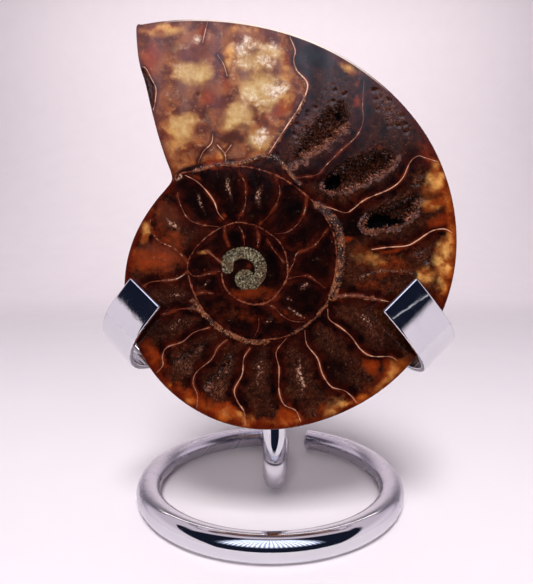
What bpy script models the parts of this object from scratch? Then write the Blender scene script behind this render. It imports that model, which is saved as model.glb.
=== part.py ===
"""Half of a sawn and polished ammonite, resting in a chrome ring stand with two hooked arms.

Four pieces: the fossil half, the bent rod that is ring and stem in one, and the two flat arms.
Metres, +Z up, the cut face looks along -Y. The origin is under the middle of the whole, on the table.
"""

import math

import bmesh
import bpy
from mathutils import Matrix, Vector
from mathutils.geometry import delaunay_2d_cdt

MM = 0.001

# Rod: ring and stem
ROD_RADIUS = 2.5 * MM
ROD_SIDES = 16
RING_RADIUS = 26.5 * MM
RING_GAP_ANGLE = 67.0
RING_STEP_ANGLE = 5.0
RUN_START_X = 3.2 * MM
TURN_RADIUS = 5.0 * MM
TURN_STEPS = 8
STEM_X = 0.9 * MM
STEM_FOOT_Y = -4.9 * MM
STEM_TOP_Y = 0.5 * MM
STEM_TOP_Z = 66.0 * MM
STEM_BEND_RADIUS = 6.0 * MM
STEM_BEND_STEPS = 9
ROD_END_CHAMFER = 0.4 * MM

# Arms: flat strips from the stem's top, curled round the rim
ARM_WIDTH = 8.4 * MM
ARM_THICKNESS = 1.0 * MM
ARM_EDGE_CHAMFER = 0.15 * MM
ARM_TOP = Vector((0.8, -3.7, 62.0)) * MM
ARM_TOP_GAP = 0.3 * MM
ARM_BEND_STEPS = 18
ARM_TWIST_START = 6.3 * MM
ARM_TWIST_STEPS = 6
LEFT_ARM = {
    "side": -1, "turn": 1.5, "drop": 50.3, "roll": 22.4,
    "run": 31.5 * MM, "bend": 9.2 * MM, "sweep": 177.0, "tip": 4.8 * MM,
}
RIGHT_ARM = {
    "side": 1, "turn": -9.3, "drop": 45.4, "roll": -11.1,
    "run": 35.2 * MM, "bend": 7.4 * MM, "sweep": 161.0, "tip": 9.2 * MM,
}

# Fossil: the coil's centre on the cut face, and the lean of that face
COIL_CENTRE = Vector((-4.7, -17.6, 49.7)) * MM
FACE_LEAN = 5.0

# Radius of the whorl's outer line at each 30 degrees of growth, from the core to the aperture
GROWTH_START = -540.0
GROWTH_STEP = 30.0
WHORL_RADII = [
    radius * MM
    for radius in (
        4.25, 4.75, 5.5, 6.4, 7.35, 7.6, 7.8, 7.9, 7.8, 8.3, 8.65, 9.45,
        10.5, 10.5, 11.3, 12.9, 14.5, 16.05, 16.7, 17.5, 17.75, 18.85, 20.6, 20.75,
        21.9, 23.8, 26.35, 29.05, 31.3, 34.8, 38.5, 41.3, 43.25, 46.1, 51.0, 56.0,
    )
]
RIM_START = 137.0
RIM_END = 473.0
RIM_STEP = 4.5

# The end of the last whorl: (distance from the coil's centre in mm, direction in degrees), tip to notch
APERTURE_EDGE = (
    (49.9, 114.2), (45.9, 116.2), (42.7, 117.5), (39.3, 118.4), (35.6, 120.0), (33.6, 121.0),
    (29.3, 123.4), (25.1, 126.0), (22.3, 128.0), (21.1, 130.5),
)
APERTURE_INWARD = ((18.0, 133.0), (15.0, 137.0), (12.0, 143.0), (8.0, 155.0))

# The shell's back: half its width, its profile across a whorl, its ribs
HALF_WIDTH_RATIO = 0.258
RIM_LAND = 0.6 * MM
FLANK_CREST = 0.52
UMBILICAL_SHOULDER = 0.36
UMBILICAL_SEAM = 0.26
SHOULDER_HEIGHT = 0.94
CORE_RADIUS = 0.5 * MM
CORE_THICKNESS = 2.2 * MM
APERTURE_WALL = 2.6 * MM
APERTURE_LIP = 0.25
RIBS_PER_WHORL = 40
RIB_HEIGHT = 0.2 * MM
RIB_SWAY = 9.0
RIB_START = 0.3

# Where the back has its points: on lines of growth, and in rows behind the end of the last whorl (mm)
BACK_GROWTH_STEP = 4.5
BACK_ACROSS = (0.30, 0.345, 0.40, 0.48, 0.57, 0.66, 0.75, 0.83, 0.90, 0.95, 0.985)
INNER_ACROSS = (0.33, 0.42, 0.52, 0.62)
APERTURE_ROWS = (21.0, 18.5, 16.0, 13.5)
APERTURE_DISTANCES = (-0.8, 0.3, 1.2, 2.2)
LEAST_SPACING = 0.35 * MM
SPACING_SHARE = 0.022
RIM_CLEARANCE = 0.45 * MM
SAME_POINT = 1e-8

# Open crystal hollows in the cut face: centre, half length, half width (mm), direction, depth (mm)
HOLLOWS = (
    (13.9, 25.2, 7.6, 2.9, 47.0, 3.2),
    (20.8, 18.0, 7.4, 3.1, 26.0, 4.0),
    (26.8, 10.4, 7.0, 2.6, 36.0, 4.0),
    (-4.5, -19.1, 4.1, 1.6, 49.0, 2.4),
    (-10.1, -15.6, 3.7, 1.2, 30.0, 1.8),
)
HOLLOW_SIDES = 16
HOLLOW_BLUNTNESS = 0.25
HOLLOW_FLOOR_SCALE = 0.6
HOLLOW_FLOOR_DEPTH = 0.8


def clear_scene():
    for obj in list(bpy.data.objects):
        bpy.data.objects.remove(obj)


def finish(name, color, roughness, metallic):
    material = bpy.data.materials.new(name)
    material.use_nodes = True
    shader = material.node_tree.nodes["Principled BSDF"]
    shader.inputs["Base Color"].default_value = (*color, 1.0)
    shader.inputs["Roughness"].default_value = roughness
    shader.inputs["Metallic"].default_value = metallic
    return material


def add_object(name, mesh_data, material, smooth_angle):
    mesh = bpy.data.meshes.new(name)
    mesh_data.to_mesh(mesh)
    mesh_data.free()
    mesh.materials.append(material)
    mesh.shade_smooth()
    mesh.set_sharp_from_angle(angle=math.radians(smooth_angle))
    obj = bpy.data.objects.new(name, mesh)
    bpy.context.scene.collection.objects.link(obj)
    return obj


def bridge_rings(mesh_data, rings):
    """One closed skin over a row of equal rings, with a flat cap at each end."""
    rows = [[mesh_data.verts.new(point) for point in ring] for ring in rings]
    count = len(rows[0])
    for lower, upper in zip(rows[:-1], rows[1:]):
        for i in range(count):
            j = (i + 1) % count
            mesh_data.faces.new((lower[i], lower[j], upper[j], upper[i]))
    mesh_data.faces.new(rows[0])
    mesh_data.faces.new(rows[-1])
    bmesh.ops.recalc_face_normals(mesh_data, faces=mesh_data.faces)


def round_corner(before, corner, after, radius, steps):
    """Points on the arc that rounds the corner, tangent to both of its sides."""
    to_before = (before - corner).normalized()
    to_after = (after - corner).normalized()
    half_angle = to_before.angle(to_after) / 2
    centre = corner + (to_before + to_after).normalized() * radius / math.sin(half_angle)
    first = corner + to_before * radius / math.tan(half_angle) - centre
    last = corner + to_after * radius / math.tan(half_angle) - centre
    axis = first.cross(last).normalized()
    sweep = first.angle(last)
    return [centre + Matrix.Rotation(sweep * i / steps, 3, axis) @ first for i in range(steps + 1)]


def rod_path():
    """Round the ring from the cut end at the back, in to the middle, and up the stem."""
    height = Vector((0, 0, ROD_RADIUS))
    turn_corner = Vector((RUN_START_X, RING_RADIUS, 0)) + height
    stem_corner = Vector((STEM_X, STEM_FOOT_Y, 0)) + height
    stem_top = Vector((STEM_X, STEM_TOP_Y, STEM_TOP_Z))
    ring_end = -270.0
    steps = round((RING_GAP_ANGLE - ring_end) / RING_STEP_ANGLE)
    points = []
    for i in range(steps + 1):
        angle = math.radians(RING_GAP_ANGLE + (ring_end - RING_GAP_ANGLE) * i / steps)
        points.append(Vector((math.cos(angle), math.sin(angle), 0)) * RING_RADIUS + height)
    before_turn = Vector((RUN_START_X - 2 * TURN_RADIUS, RING_RADIUS, 0)) + height
    turn = round_corner(before_turn, turn_corner, stem_corner, TURN_RADIUS, TURN_STEPS)
    while points[-1].x > turn[0].x - MM:
        points.pop()
    points += turn
    points += round_corner(turn_corner, stem_corner, stem_top, STEM_BEND_RADIUS, STEM_BEND_STEPS)
    points.append(stem_top)
    return points


def rod_rings(path):
    """Sections across the path, each turned the least from the one before; a flat side faces down."""
    corner_radius = ROD_RADIUS / math.cos(math.pi / ROD_SIDES)
    end_scale = 1 - ROD_END_CHAMFER / ROD_RADIUS
    last = len(path) - 1
    up = Vector((0, 0, 1))
    rings = []
    for i, point in enumerate(path):
        ahead = (path[min(i + 1, last)] - path[max(i - 1, 0)]).normalized()
        up = (up - ahead * up.dot(ahead)).normalized()
        side = ahead.cross(up)
        sections = [(point, 1.0)]
        if i == 0:
            sections = [(point, end_scale), (point + ahead * ROD_END_CHAMFER, 1.0)]
        if i == last:
            sections = [(point - ahead * ROD_END_CHAMFER, 1.0), (point, end_scale)]
        for centre, scale in sections:
            ring = []
            for k in range(ROD_SIDES):
                angle = 2 * math.pi * (k + 0.5) / ROD_SIDES
                reach = side * math.sin(angle) - up * math.cos(angle)
                ring.append(centre + reach * corner_radius * scale)
            rings.append(ring)
    return rings


def make_rod(material):
    data = bmesh.new()
    bridge_rings(data, rod_rings(rod_path()))
    return add_object("base_rod", data, material, smooth_angle=40)


def arm_section(width_axis, face_axis):
    """Corners of the strip's cross-section, with its long edges eased."""
    half_width = ARM_WIDTH / 2
    half_thick = ARM_THICKNESS / 2
    cut = ARM_EDGE_CHAMFER
    corners = (
        (half_width, half_thick - cut), (half_width - cut, half_thick),
        (cut - half_width, half_thick), (-half_width, half_thick - cut),
        (-half_width, cut - half_thick), (cut - half_width, -half_thick),
        (half_width - cut, -half_thick), (half_width, cut - half_thick),
    )
    return [width_axis * across + face_axis * through for across, through in corners]


def make_arm(name, arm, material):
    """A strip that runs down behind the fossil, twists a little, and curls forward round the rim."""
    turn, drop, roll = (math.radians(arm[key]) for key in ("turn", "drop", "roll"))
    across = Vector((arm["side"] * math.cos(turn), math.sin(turn), 0))
    along = across * math.cos(drop) - Vector((0, 0, math.sin(drop)))
    front = Vector((0, -1, 0))
    front = (front - along * front.dot(along)).normalized()
    cross = along.cross(front)

    def face_at(share):
        return front * math.cos(roll * share) + cross * math.sin(roll * share)

    rings = []
    mitre_x = ARM_TOP.x + arm["side"] * ARM_TOP_GAP / 2
    first = arm_section(along.cross(face_at(0)), face_at(0))
    rings.append([ARM_TOP + p + along * ((mitre_x - ARM_TOP.x - p.x) / along.x) for p in first])
    for i in range(ARM_TWIST_STEPS + 1):
        share = i / ARM_TWIST_STEPS
        face = face_at(share)
        distance = ARM_TWIST_START + (arm["run"] - ARM_TWIST_START) * share
        rings.append([ARM_TOP + along * distance + p for p in arm_section(along.cross(face), face)])
    face = face_at(1)
    width_axis = along.cross(face)
    bend_centre = ARM_TOP + along * arm["run"] + face * arm["bend"]
    sweep = math.radians(arm["sweep"])
    for i in range(1, ARM_BEND_STEPS + 1):
        angle = sweep * i / ARM_BEND_STEPS
        outward = along * math.sin(angle) - face * math.cos(angle)
        rings.append([bend_centre + outward * arm["bend"] + p for p in arm_section(width_axis, -outward)])
    heading = along * math.cos(sweep) + face * math.sin(sweep)
    rings.append([corner + heading * arm["tip"] for corner in rings[-1]])
    data = bmesh.new()
    bridge_rings(data, rings)
    return add_object(name, data, material, smooth_angle=30)


def whorl_radius(growth):
    """Radius of the whorl's outer line at a growth angle, smooth through the given radii."""
    place = (growth - GROWTH_START) / GROWTH_STEP
    first = max(0, min(len(WHORL_RADII) - 2, math.floor(place)))
    t = place - first
    logs = [math.log(WHORL_RADII[max(0, min(len(WHORL_RADII) - 1, first + k))]) for k in (-1, 0, 1, 2)]
    a, b, c, d = logs
    value = b + 0.5 * t * (c - a + t * (2 * a - 5 * b + 4 * c - d + t * (3 * (b - c) + d - a)))
    return math.exp(value)


def polar(radius, degrees):
    return Vector((math.cos(math.radians(degrees)), math.sin(math.radians(degrees)))) * radius


def face_outline():
    """The cut face's edge, anticlockwise: round the rim from the notch to the tip, back down the aperture."""
    steps = round((RIM_END - RIM_START) / RIM_STEP)
    points = []
    for i in range(steps + 1):
        growth = RIM_START + (RIM_END - RIM_START) * i / steps
        points.append(polar(whorl_radius(growth), growth))
    points += [polar(radius * MM, degrees) for radius, degrees in APERTURE_EDGE]
    return points


def aperture_direction(radius):
    """Direction in which the last whorl ends, at a distance from the coil's centre."""
    rows = [(r * MM, degrees) for r, degrees in APERTURE_EDGE + APERTURE_INWARD]
    if radius >= rows[0][0]:
        return rows[0][1]
    for (far, far_degrees), (near, near_degrees) in zip(rows[:-1], rows[1:]):
        if radius >= near:
            return near_degrees + (far_degrees - near_degrees) * (radius - near) / (far - near)
    return rows[-1][1]


def smooth_step(value):
    value = max(0.0, min(1.0, value))
    return value * value * (3 - 2 * value)


def whorl_profile(across):
    """Height over a whorl's width, as a share of its greatest: 1 at the venter, less towards the navel."""
    if across >= 1:
        return 0.0
    if across >= FLANK_CREST:
        return math.sqrt(1 - ((across - FLANK_CREST) / (1 - FLANK_CREST)) ** 2)
    if across >= UMBILICAL_SHOULDER:
        fall = (FLANK_CREST - across) / (FLANK_CREST - UMBILICAL_SHOULDER)
        return 1 - (1 - SHOULDER_HEIGHT) * fall**2
    if across > UMBILICAL_SEAM:
        fall = (UMBILICAL_SHOULDER - across) / (UMBILICAL_SHOULDER - UMBILICAL_SEAM)
        return SHOULDER_HEIGHT * math.sqrt(1 - fall**2)
    return 0.0


def back_height(point):
    """Thickness of the half at a point of the cut face: the greatest of the whorls that lie there."""
    radius = point.length
    if radius < CORE_RADIUS:
        return CORE_THICKNESS
    direction = math.degrees(math.atan2(point.y, point.x)) % 360
    last = aperture_direction(radius) + 360
    height = CORE_THICKNESS
    growth = direction + 360 if direction + 360 <= last else direction
    while growth > GROWTH_START:
        whorl = whorl_radius(growth)
        across = radius / whorl
        share = whorl_profile(across)
        if share > 0:
            end_distance = math.radians(last - growth) * radius
            body = HALF_WIDTH_RATIO * whorl * share
            sway = RIB_SWAY * math.sin(math.pi * (across - RIB_START) / (1 - RIB_START))
            rib = RIB_HEIGHT * share * math.cos(math.radians(RIBS_PER_WHORL * (growth + sway)))
            rise = smooth_step(APERTURE_LIP + end_distance / APERTURE_WALL)
            height = max(height, (body + rib) * rise)
        growth -= 360
    return height


def inside(point, loop):
    found = False
    for a, b in zip(loop, loop[1:] + loop[:1]):
        if (a.y > point.y) != (b.y > point.y):
            if point.x < a.x + (b.x - a.x) * (point.y - a.y) / (b.y - a.y):
                found = not found
    return found


def distance_to_loop(point, loop):
    best = math.inf
    for a, b in zip(loop, loop[1:] + loop[:1]):
        side = b - a
        share = max(0.0, min(1.0, (point - a).dot(side) / side.length_squared))
        best = min(best, (point - a - side * share).length)
    return best


def triangulate(outline, loops, extra):
    """Triangles inside the outline that keep each loop's edges. Returns the points and the triangles."""
    points = list(outline)
    edges = [(i, (i + 1) % len(outline)) for i in range(len(outline))]
    for loop in loops:
        start = len(points)
        points += loop
        edges += [(start + i, start + (i + 1) % len(loop)) for i in range(len(loop))]
    points += extra
    found = delaunay_2d_cdt(points, edges, [], 0, SAME_POINT)
    places, faces, sources = found[0], found[2], found[3]
    source = [origin[0] for origin in sources]
    triangles = []
    for face in faces:
        centre = (places[face[0]] + places[face[1]] + places[face[2]]) / 3
        if inside(centre, outline):
            triangles.append(tuple(source[i] for i in face))
    return points, triangles


def hollow_loop(hollow, scale):
    """An egg-shaped ring round a hollow, blunter at its outer end."""
    centre_u, centre_v, half_length, half_width, degrees, _ = hollow
    turn = Matrix.Rotation(math.radians(degrees), 2)
    loop = []
    for i in range(HOLLOW_SIDES):
        angle = 2 * math.pi * i / HOLLOW_SIDES
        blunt = 1 + HOLLOW_BLUNTNESS * math.cos(angle)
        local = Vector((half_length * math.cos(angle), half_width * blunt * math.sin(angle))) * scale
        loop.append((Vector((centre_u, centre_v)) + turn @ local) * MM)
    return loop


def back_points(outline):
    """Points of the shell's back, on the lines of growth, thinned out where they crowd."""
    candidates = []
    steps = round(360 / BACK_GROWTH_STEP)
    for i in range(steps):
        growth = RIM_END - i * BACK_GROWTH_STEP
        for across in BACK_ACROSS:
            candidates.append(polar(whorl_radius(growth) * across, growth))
    for i in range(0, 2 * steps, 2):
        growth = RIM_END - 360 - i * BACK_GROWTH_STEP
        for across in INNER_ACROSS:
            candidates.append(polar(whorl_radius(growth) * across, growth))
    for radius in APERTURE_ROWS:
        edge = aperture_direction(radius * MM)
        for distance in APERTURE_DISTANCES:
            candidates.append(polar(radius * MM, edge - math.degrees(distance / radius)))
    kept = []
    for point in candidates:
        spacing = max(LEAST_SPACING, SPACING_SHARE * point.length)
        if not inside(point, outline) or distance_to_loop(point, outline) < RIM_CLEARANCE:
            continue
        if all((point - other).length > spacing for other in kept):
            kept.append(point)
    return kept


def make_ammonite(material):
    """Flat cut face with open hollows in front, whorls, ribs and navel behind, joined round a thin rim."""
    outline = face_outline()
    rings = [hollow_loop(hollow, 1.0) for hollow in HOLLOWS]
    floors = [hollow_loop(hollow, HOLLOW_FLOOR_SCALE) for hollow in HOLLOWS]
    centres = [Vector((hollow[0], hollow[1])) * MM for hollow in HOLLOWS]
    lean = math.radians(FACE_LEAN)
    right = Vector((1, 0, 0))
    up = Vector((0, math.sin(lean), math.cos(lean)))
    out = Vector((0, -math.cos(lean), math.sin(lean)))

    def place(point, depth):
        return COIL_CENTRE + right * point.x + up * point.y - out * depth

    data = bmesh.new()
    front_points, front_faces = triangulate(outline, rings + floors, centres)
    depths = [0.0] * (len(outline) + len(rings) * HOLLOW_SIDES)
    for hollow in HOLLOWS:
        depths += [hollow[5] * HOLLOW_FLOOR_DEPTH * MM] * HOLLOW_SIDES
    depths += [hollow[5] * MM for hollow in HOLLOWS]
    front = [data.verts.new(place(point, depth)) for point, depth in zip(front_points, depths)]
    for face in front_faces:
        data.faces.new([front[i] for i in face])

    back_all, back_faces = triangulate(outline, [], back_points(outline))
    back = []
    for i, point in enumerate(back_all):
        depth = RIM_LAND if i < len(outline) else back_height(point)
        back.append(data.verts.new(place(point, depth)))
    for face in back_faces:
        data.faces.new([back[i] for i in reversed(face)])
    for i in range(len(outline)):
        j = (i + 1) % len(outline)
        data.faces.new((front[i], back[i], back[j], front[j]))
    bmesh.ops.recalc_face_normals(data, faces=data.faces)
    return add_object("ammonite_half", data, material, smooth_angle=50)


def stand_on_origin(objects):
    """Moves the pieces together so that the origin is under the middle of their box."""
    corners = [vertex.co for obj in objects for vertex in obj.data.vertices]
    low = Vector([min(corner[axis] for corner in corners) for axis in range(3)])
    high = Vector([max(corner[axis] for corner in corners) for axis in range(3)])
    shift = Matrix.Translation((-(low.x + high.x) / 2, -(low.y + high.y) / 2, -low.z))
    for obj in objects:
        obj.data.transform(shift)


clear_scene()
chrome = finish("chrome", (0.78, 0.78, 0.8), 0.08, 1.0)
stone = finish("polished_ammonite", (0.17, 0.06, 0.03), 0.18, 0.0)
pieces = [
    make_ammonite(stone),
    make_rod(chrome),
    make_arm("left_arm", LEFT_ARM, chrome),
    make_arm("right_arm", RIGHT_ARM, chrome),
]
stand_on_origin(pieces)
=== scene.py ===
"""Looks of a sawn and polished ammonite half on its chrome ring stand."""

import math

import bmesh
import bpy
import numpy as np
from mathutils import Matrix, Vector, noise
from mathutils.geometry import delaunay_2d_cdt


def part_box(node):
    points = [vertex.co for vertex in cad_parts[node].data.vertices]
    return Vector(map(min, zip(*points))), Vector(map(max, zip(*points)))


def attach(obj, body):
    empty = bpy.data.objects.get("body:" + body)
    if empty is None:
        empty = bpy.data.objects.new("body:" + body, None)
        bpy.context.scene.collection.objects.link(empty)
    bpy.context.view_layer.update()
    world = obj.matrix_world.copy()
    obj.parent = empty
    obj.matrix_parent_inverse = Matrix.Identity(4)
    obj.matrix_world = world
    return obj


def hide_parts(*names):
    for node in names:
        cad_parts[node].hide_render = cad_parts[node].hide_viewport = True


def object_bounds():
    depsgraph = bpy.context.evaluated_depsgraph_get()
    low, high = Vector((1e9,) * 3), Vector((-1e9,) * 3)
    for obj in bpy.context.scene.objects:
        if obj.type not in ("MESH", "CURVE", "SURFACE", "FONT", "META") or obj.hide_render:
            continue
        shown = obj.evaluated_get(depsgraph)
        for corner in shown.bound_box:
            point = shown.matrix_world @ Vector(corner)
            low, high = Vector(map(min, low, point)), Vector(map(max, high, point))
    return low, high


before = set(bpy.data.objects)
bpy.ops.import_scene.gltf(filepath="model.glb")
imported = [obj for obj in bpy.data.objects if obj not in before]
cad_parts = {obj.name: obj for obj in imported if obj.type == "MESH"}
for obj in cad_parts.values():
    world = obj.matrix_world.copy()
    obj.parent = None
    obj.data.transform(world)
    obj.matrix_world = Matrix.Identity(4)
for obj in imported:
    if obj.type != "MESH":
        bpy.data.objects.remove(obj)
cad_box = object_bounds()
MM = 0.001

# The ring and stem: one round steel rod, bent into an open ring that lies on the table, turned in to the
# ring's middle and up behind the fossil. It is chrome plated, and its two cut ends are eased.
ROD_RADIUS = 2.5 * MM
RING_RADIUS = 26.5 * MM
RING_GAP_ANGLE = 67.0
RING_END_ANGLE = -270.0
RING_STEP_ANGLE = 2.0
RUN_START_X = 3.2 * MM
TURN_RADIUS = 5.0 * MM
TURN_STEPS = 24
STEM_X = 0.9 * MM
STEM_FOOT_Y = -4.9 * MM
STEM_TOP_Y = 0.5 * MM
STEM_TOP_Z = 66.0 * MM
STEM_BEND_RADIUS = 6.0 * MM
STEM_BEND_STEPS = 24
ROD_SIDES = 56
ROD_END_EASE = 0.4 * MM
ROD_END_STEPS = 5

rod_low, rod_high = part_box("base_rod")
ring_centre = Vector(((rod_low.x + rod_high.x) / 2, (rod_low.y + rod_high.y) / 2, 0))


def add_node(tree, kind, inputs=None, **settings):
    """One node with its settings, and a value or a link for each input, by name or number."""
    node = tree.nodes.new(kind)
    for key, value in settings.items():
        setattr(node, key, value)
    for key, value in (inputs or {}).items():
        if isinstance(value, bpy.types.NodeSocket):
            tree.links.new(value, node.inputs[key])
        else:
            node.inputs[key].default_value = value
    return node


def calculate(tree, operation, first, second=0.0, clamp=False):
    inputs = {0: first, 1: second}
    return add_node(tree, "ShaderNodeMath", inputs, operation=operation, use_clamp=clamp).outputs[0]


def product(tree, first, second):
    return calculate(tree, "MULTIPLY", first, second)


def fade(tree, value, low, high, to_low=0.0, to_high=1.0):
    """Smooth step of a value between two limits."""
    inputs = {"Value": value, "From Min": low, "From Max": high, "To Min": to_low, "To Max": to_high}
    return add_node(tree, "ShaderNodeMapRange", inputs, interpolation_type="SMOOTHSTEP").outputs[0]


def blend(tree, factor, first, second):
    """Mix of two colours."""
    return add_node(tree, "ShaderNodeMix", {0: factor, 6: first, 7: second}, data_type="RGBA").outputs[2]


def colour(red, green, blue):
    """A colour of 0 to 255 steps, as the linear values that a shader takes."""
    shares = [step / 255 for step in (red, green, blue)]
    return tuple(s / 12.92 if s <= 0.04045 else ((s + 0.055) / 1.055) ** 2.4 for s in shares) + (1.0,)


def new_group(name, inputs, outputs, kind="ShaderNodeTree"):
    """An empty node group with named sockets: (name, socket type, value)."""
    group = bpy.data.node_groups.new(name, kind)
    for label, socket_type, value in inputs:
        socket = group.interface.new_socket(name=label, in_out="INPUT", socket_type=socket_type)
        if value is not None:
            socket.default_value = value
    for label, socket_type in outputs:
        group.interface.new_socket(name=label, in_out="OUTPUT", socket_type=socket_type)
    return group, group.nodes.new("NodeGroupInput").outputs, group.nodes.new("NodeGroupOutput").inputs


def place_group(tree, group, inputs):
    """A group in a material, with its own values; returns its outputs."""
    node = add_node(tree, "ShaderNodeGroup", node_tree=group)
    for key, value in inputs.items():
        if isinstance(value, bpy.types.NodeSocket):
            tree.links.new(value, node.inputs[key])
        else:
            node.inputs[key].default_value = value
    return node.outputs


def placed(name, data):
    """An object of its own for a mesh, a lamp or a camera, at the origin of the scene."""
    obj = bpy.data.objects.new(name, data)
    bpy.context.scene.collection.objects.link(obj)
    return obj


def new_finish(name):
    """A material, its tree, its shader and the place in millimetres on the piece."""
    material = bpy.data.materials.new(name)
    material.use_nodes = True
    tree = material.node_tree
    place = add_node(tree, "ShaderNodeTexCoord").outputs["Object"]
    scaled = add_node(tree, "ShaderNodeVectorMath", {0: place, "Scale": 1 / MM}, operation="SCALE").outputs[0]
    return material, tree, tree.nodes["Principled BSDF"], scaled


def cloud(tree, place, size, detail=4.0, roughness=0.5, distortion=0.0):
    """Noise whose lumps are about `size` millimetres across."""
    inputs = {"Vector": place, "Scale": 1 / size, "Detail": detail, "Roughness": roughness}
    inputs["Distortion"] = distortion
    return add_node(tree, "ShaderNodeTexNoise", inputs).outputs["Fac"]


# Handling marks: the soft smears and fine dust that a polished surface keeps
handling, asked, given = new_group(
    "handling_marks",
    [("Place", "NodeSocketVector", None), ("Gloss", "NodeSocketFloat", 0.05),
     ("Smear", "NodeSocketFloat", 0.1)],
    [("Roughness", "NodeSocketFloat"), ("Height", "NodeSocketFloat")],
)
smears = fade(handling, cloud(handling, asked["Place"], 6.0, 5.0, 0.6, 1.2), 0.45, 0.75)
specks = fade(handling, cloud(handling, asked["Place"], 0.35, 2.0), 0.72, 0.8)
marks = calculate(handling, "ADD", smears, specks, clamp=True)
rough = calculate(handling, "ADD", asked["Gloss"], calculate(handling, "MULTIPLY", marks, asked["Smear"]))
handling.links.new(rough, given["Roughness"])
handling.links.new(cloud(handling, asked["Place"], 3.0, 3.0), given["Height"])


def keep_in_box(mesh):
    """Holds a mesh's points within the object's box, where a smooth curve swells past it by a hair."""
    least, most = cad_box
    for vertex in mesh.vertices:
        vertex.co = [min(max(vertex.co[axis], least[axis]), most[axis]) for axis in range(3)]


# The film of dust that lies on the ring from a little behind its front, and no higher than the rod (mm)
DUST_FRONT = (-25.0, -12.0)
DUST_TOP = (7.0, 4.5)


def chrome_finish():
    """Bright nickel-chrome plate: nearly a mirror, with faint waves and smears, dusty down at the ring."""
    material, tree, shader, place = new_finish("chrome_plate")
    spot = add_node(tree, "ShaderNodeSeparateXYZ", {0: place}).outputs
    dusty = product(tree, fade(tree, spot[1], *DUST_FRONT), fade(tree, spot[2], *DUST_TOP))
    gloss = fade(tree, dusty, 0.0, 1.0, 0.035, 0.24)
    marked = place_group(tree, handling, {"Place": place, "Gloss": gloss, "Smear": 0.1})
    clean = blend(tree, cloud(tree, place, 9.0, 3.0), colour(210, 210, 216), colour(222, 221, 225))
    tint = blend(tree, dusty, clean, colour(200, 196, 206))
    tree.links.new(tint, shader.inputs["Base Color"])
    tree.links.new(marked["Roughness"], shader.inputs["Roughness"])
    shader.inputs["Metallic"].default_value = 1.0
    wave_inputs = {"Height": marked["Height"], "Strength": 0.05, "Distance": 0.2 * MM}
    waves = add_node(tree, "ShaderNodeBump", wave_inputs)
    tree.links.new(waves.outputs[0], shader.inputs["Normal"])
    return material


def round_corner(before, corner, after, radius, steps):
    """Points on the arc that rounds the corner, tangent to both of its sides."""
    to_before = (before - corner).normalized()
    to_after = (after - corner).normalized()
    half_angle = to_before.angle(to_after) / 2
    centre = corner + (to_before + to_after).normalized() * radius / math.sin(half_angle)
    first = corner + to_before * radius / math.tan(half_angle) - centre
    last = corner + to_after * radius / math.tan(half_angle) - centre
    axis = first.cross(last).normalized()
    sweep = first.angle(last)
    return [centre + Matrix.Rotation(sweep * i / steps, 3, axis) @ first for i in range(steps + 1)]


def rod_route():
    """Round the ring from the cut end at the back, in to the middle, and up the stem."""
    height = Vector((0, 0, ROD_RADIUS))
    turn_corner = Vector((RUN_START_X, RING_RADIUS, 0)) + height
    stem_corner = Vector((STEM_X, STEM_FOOT_Y, 0)) + height
    stem_top = Vector((STEM_X, STEM_TOP_Y, STEM_TOP_Z))
    steps = round((RING_GAP_ANGLE - RING_END_ANGLE) / RING_STEP_ANGLE)
    route = []
    for i in range(steps + 1):
        angle = math.radians(RING_GAP_ANGLE + (RING_END_ANGLE - RING_GAP_ANGLE) * i / steps)
        route.append(Vector((math.cos(angle), math.sin(angle), 0)) * RING_RADIUS + height)
    before_turn = Vector((RUN_START_X - 2 * TURN_RADIUS, RING_RADIUS, 0)) + height
    turn = round_corner(before_turn, turn_corner, stem_corner, TURN_RADIUS, TURN_STEPS)
    while route[-1].x > turn[0].x - MM / 2:
        route.pop()
    route += turn
    route += round_corner(turn_corner, stem_corner, stem_top, STEM_BEND_RADIUS, STEM_BEND_STEPS)
    route.append(stem_top)
    return [point + ring_centre for point in route]


def eased_ends(route):
    """The route with extra points at its ends, where the rod gets thinner along a quarter circle."""
    easing = []
    for k in range(ROD_END_STEPS):
        angle = math.pi / 2 * k / ROD_END_STEPS
        along = ROD_END_EASE * (1 - math.cos(angle))
        easing.append((along, 1 - ROD_END_EASE * (1 - math.sin(angle)) / ROD_RADIUS))
    easing.append((ROD_END_EASE, 1.0))
    inward = (route[1] - route[0]).normalized(), (route[-2] - route[-1]).normalized()
    first = [(route[0] + inward[0] * along, share) for along, share in easing]
    last = [(route[-1] + inward[1] * along, share) for along, share in easing]
    return first + [(point, 1.0) for point in route[1:-1]] + last[::-1]


def guide_line(name, points, thickness):
    """A line of edges with its thickness at each point, for a node tree to follow."""
    mesh = bpy.data.meshes.new(name)
    mesh.from_pydata(points, [(i, i + 1) for i in range(len(points) - 1)], [])
    mesh.attributes.new("thickness", "FLOAT", "POINT").data.foreach_set("value", thickness)
    return placed(name, mesh)


def made_by_nodes(name, source, tree, values):
    """Runs a node tree on its guide and keeps what it makes as a plain mesh piece."""
    modifier = source.modifiers.new("making", "NODES")
    modifier.node_group = tree
    for item in tree.interface.items_tree:
        if item.in_out == "INPUT" and item.name in values:
            modifier[item.identifier] = values[item.name]
    evaluated = source.evaluated_get(bpy.context.evaluated_depsgraph_get())
    mesh = bpy.data.meshes.new_from_object(evaluated)
    bpy.data.objects.remove(source)
    mesh.name = name
    return placed(name, mesh)


def made_real(tree, geometry, finish):
    """The last two nodes of a tree: its instances made real, and their finish."""
    real = add_node(tree, "GeometryNodeRealizeInstances", {0: geometry}).outputs[0]
    return add_node(tree, "GeometryNodeSetMaterial", {0: real, "Material": finish}).outputs[0]


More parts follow.
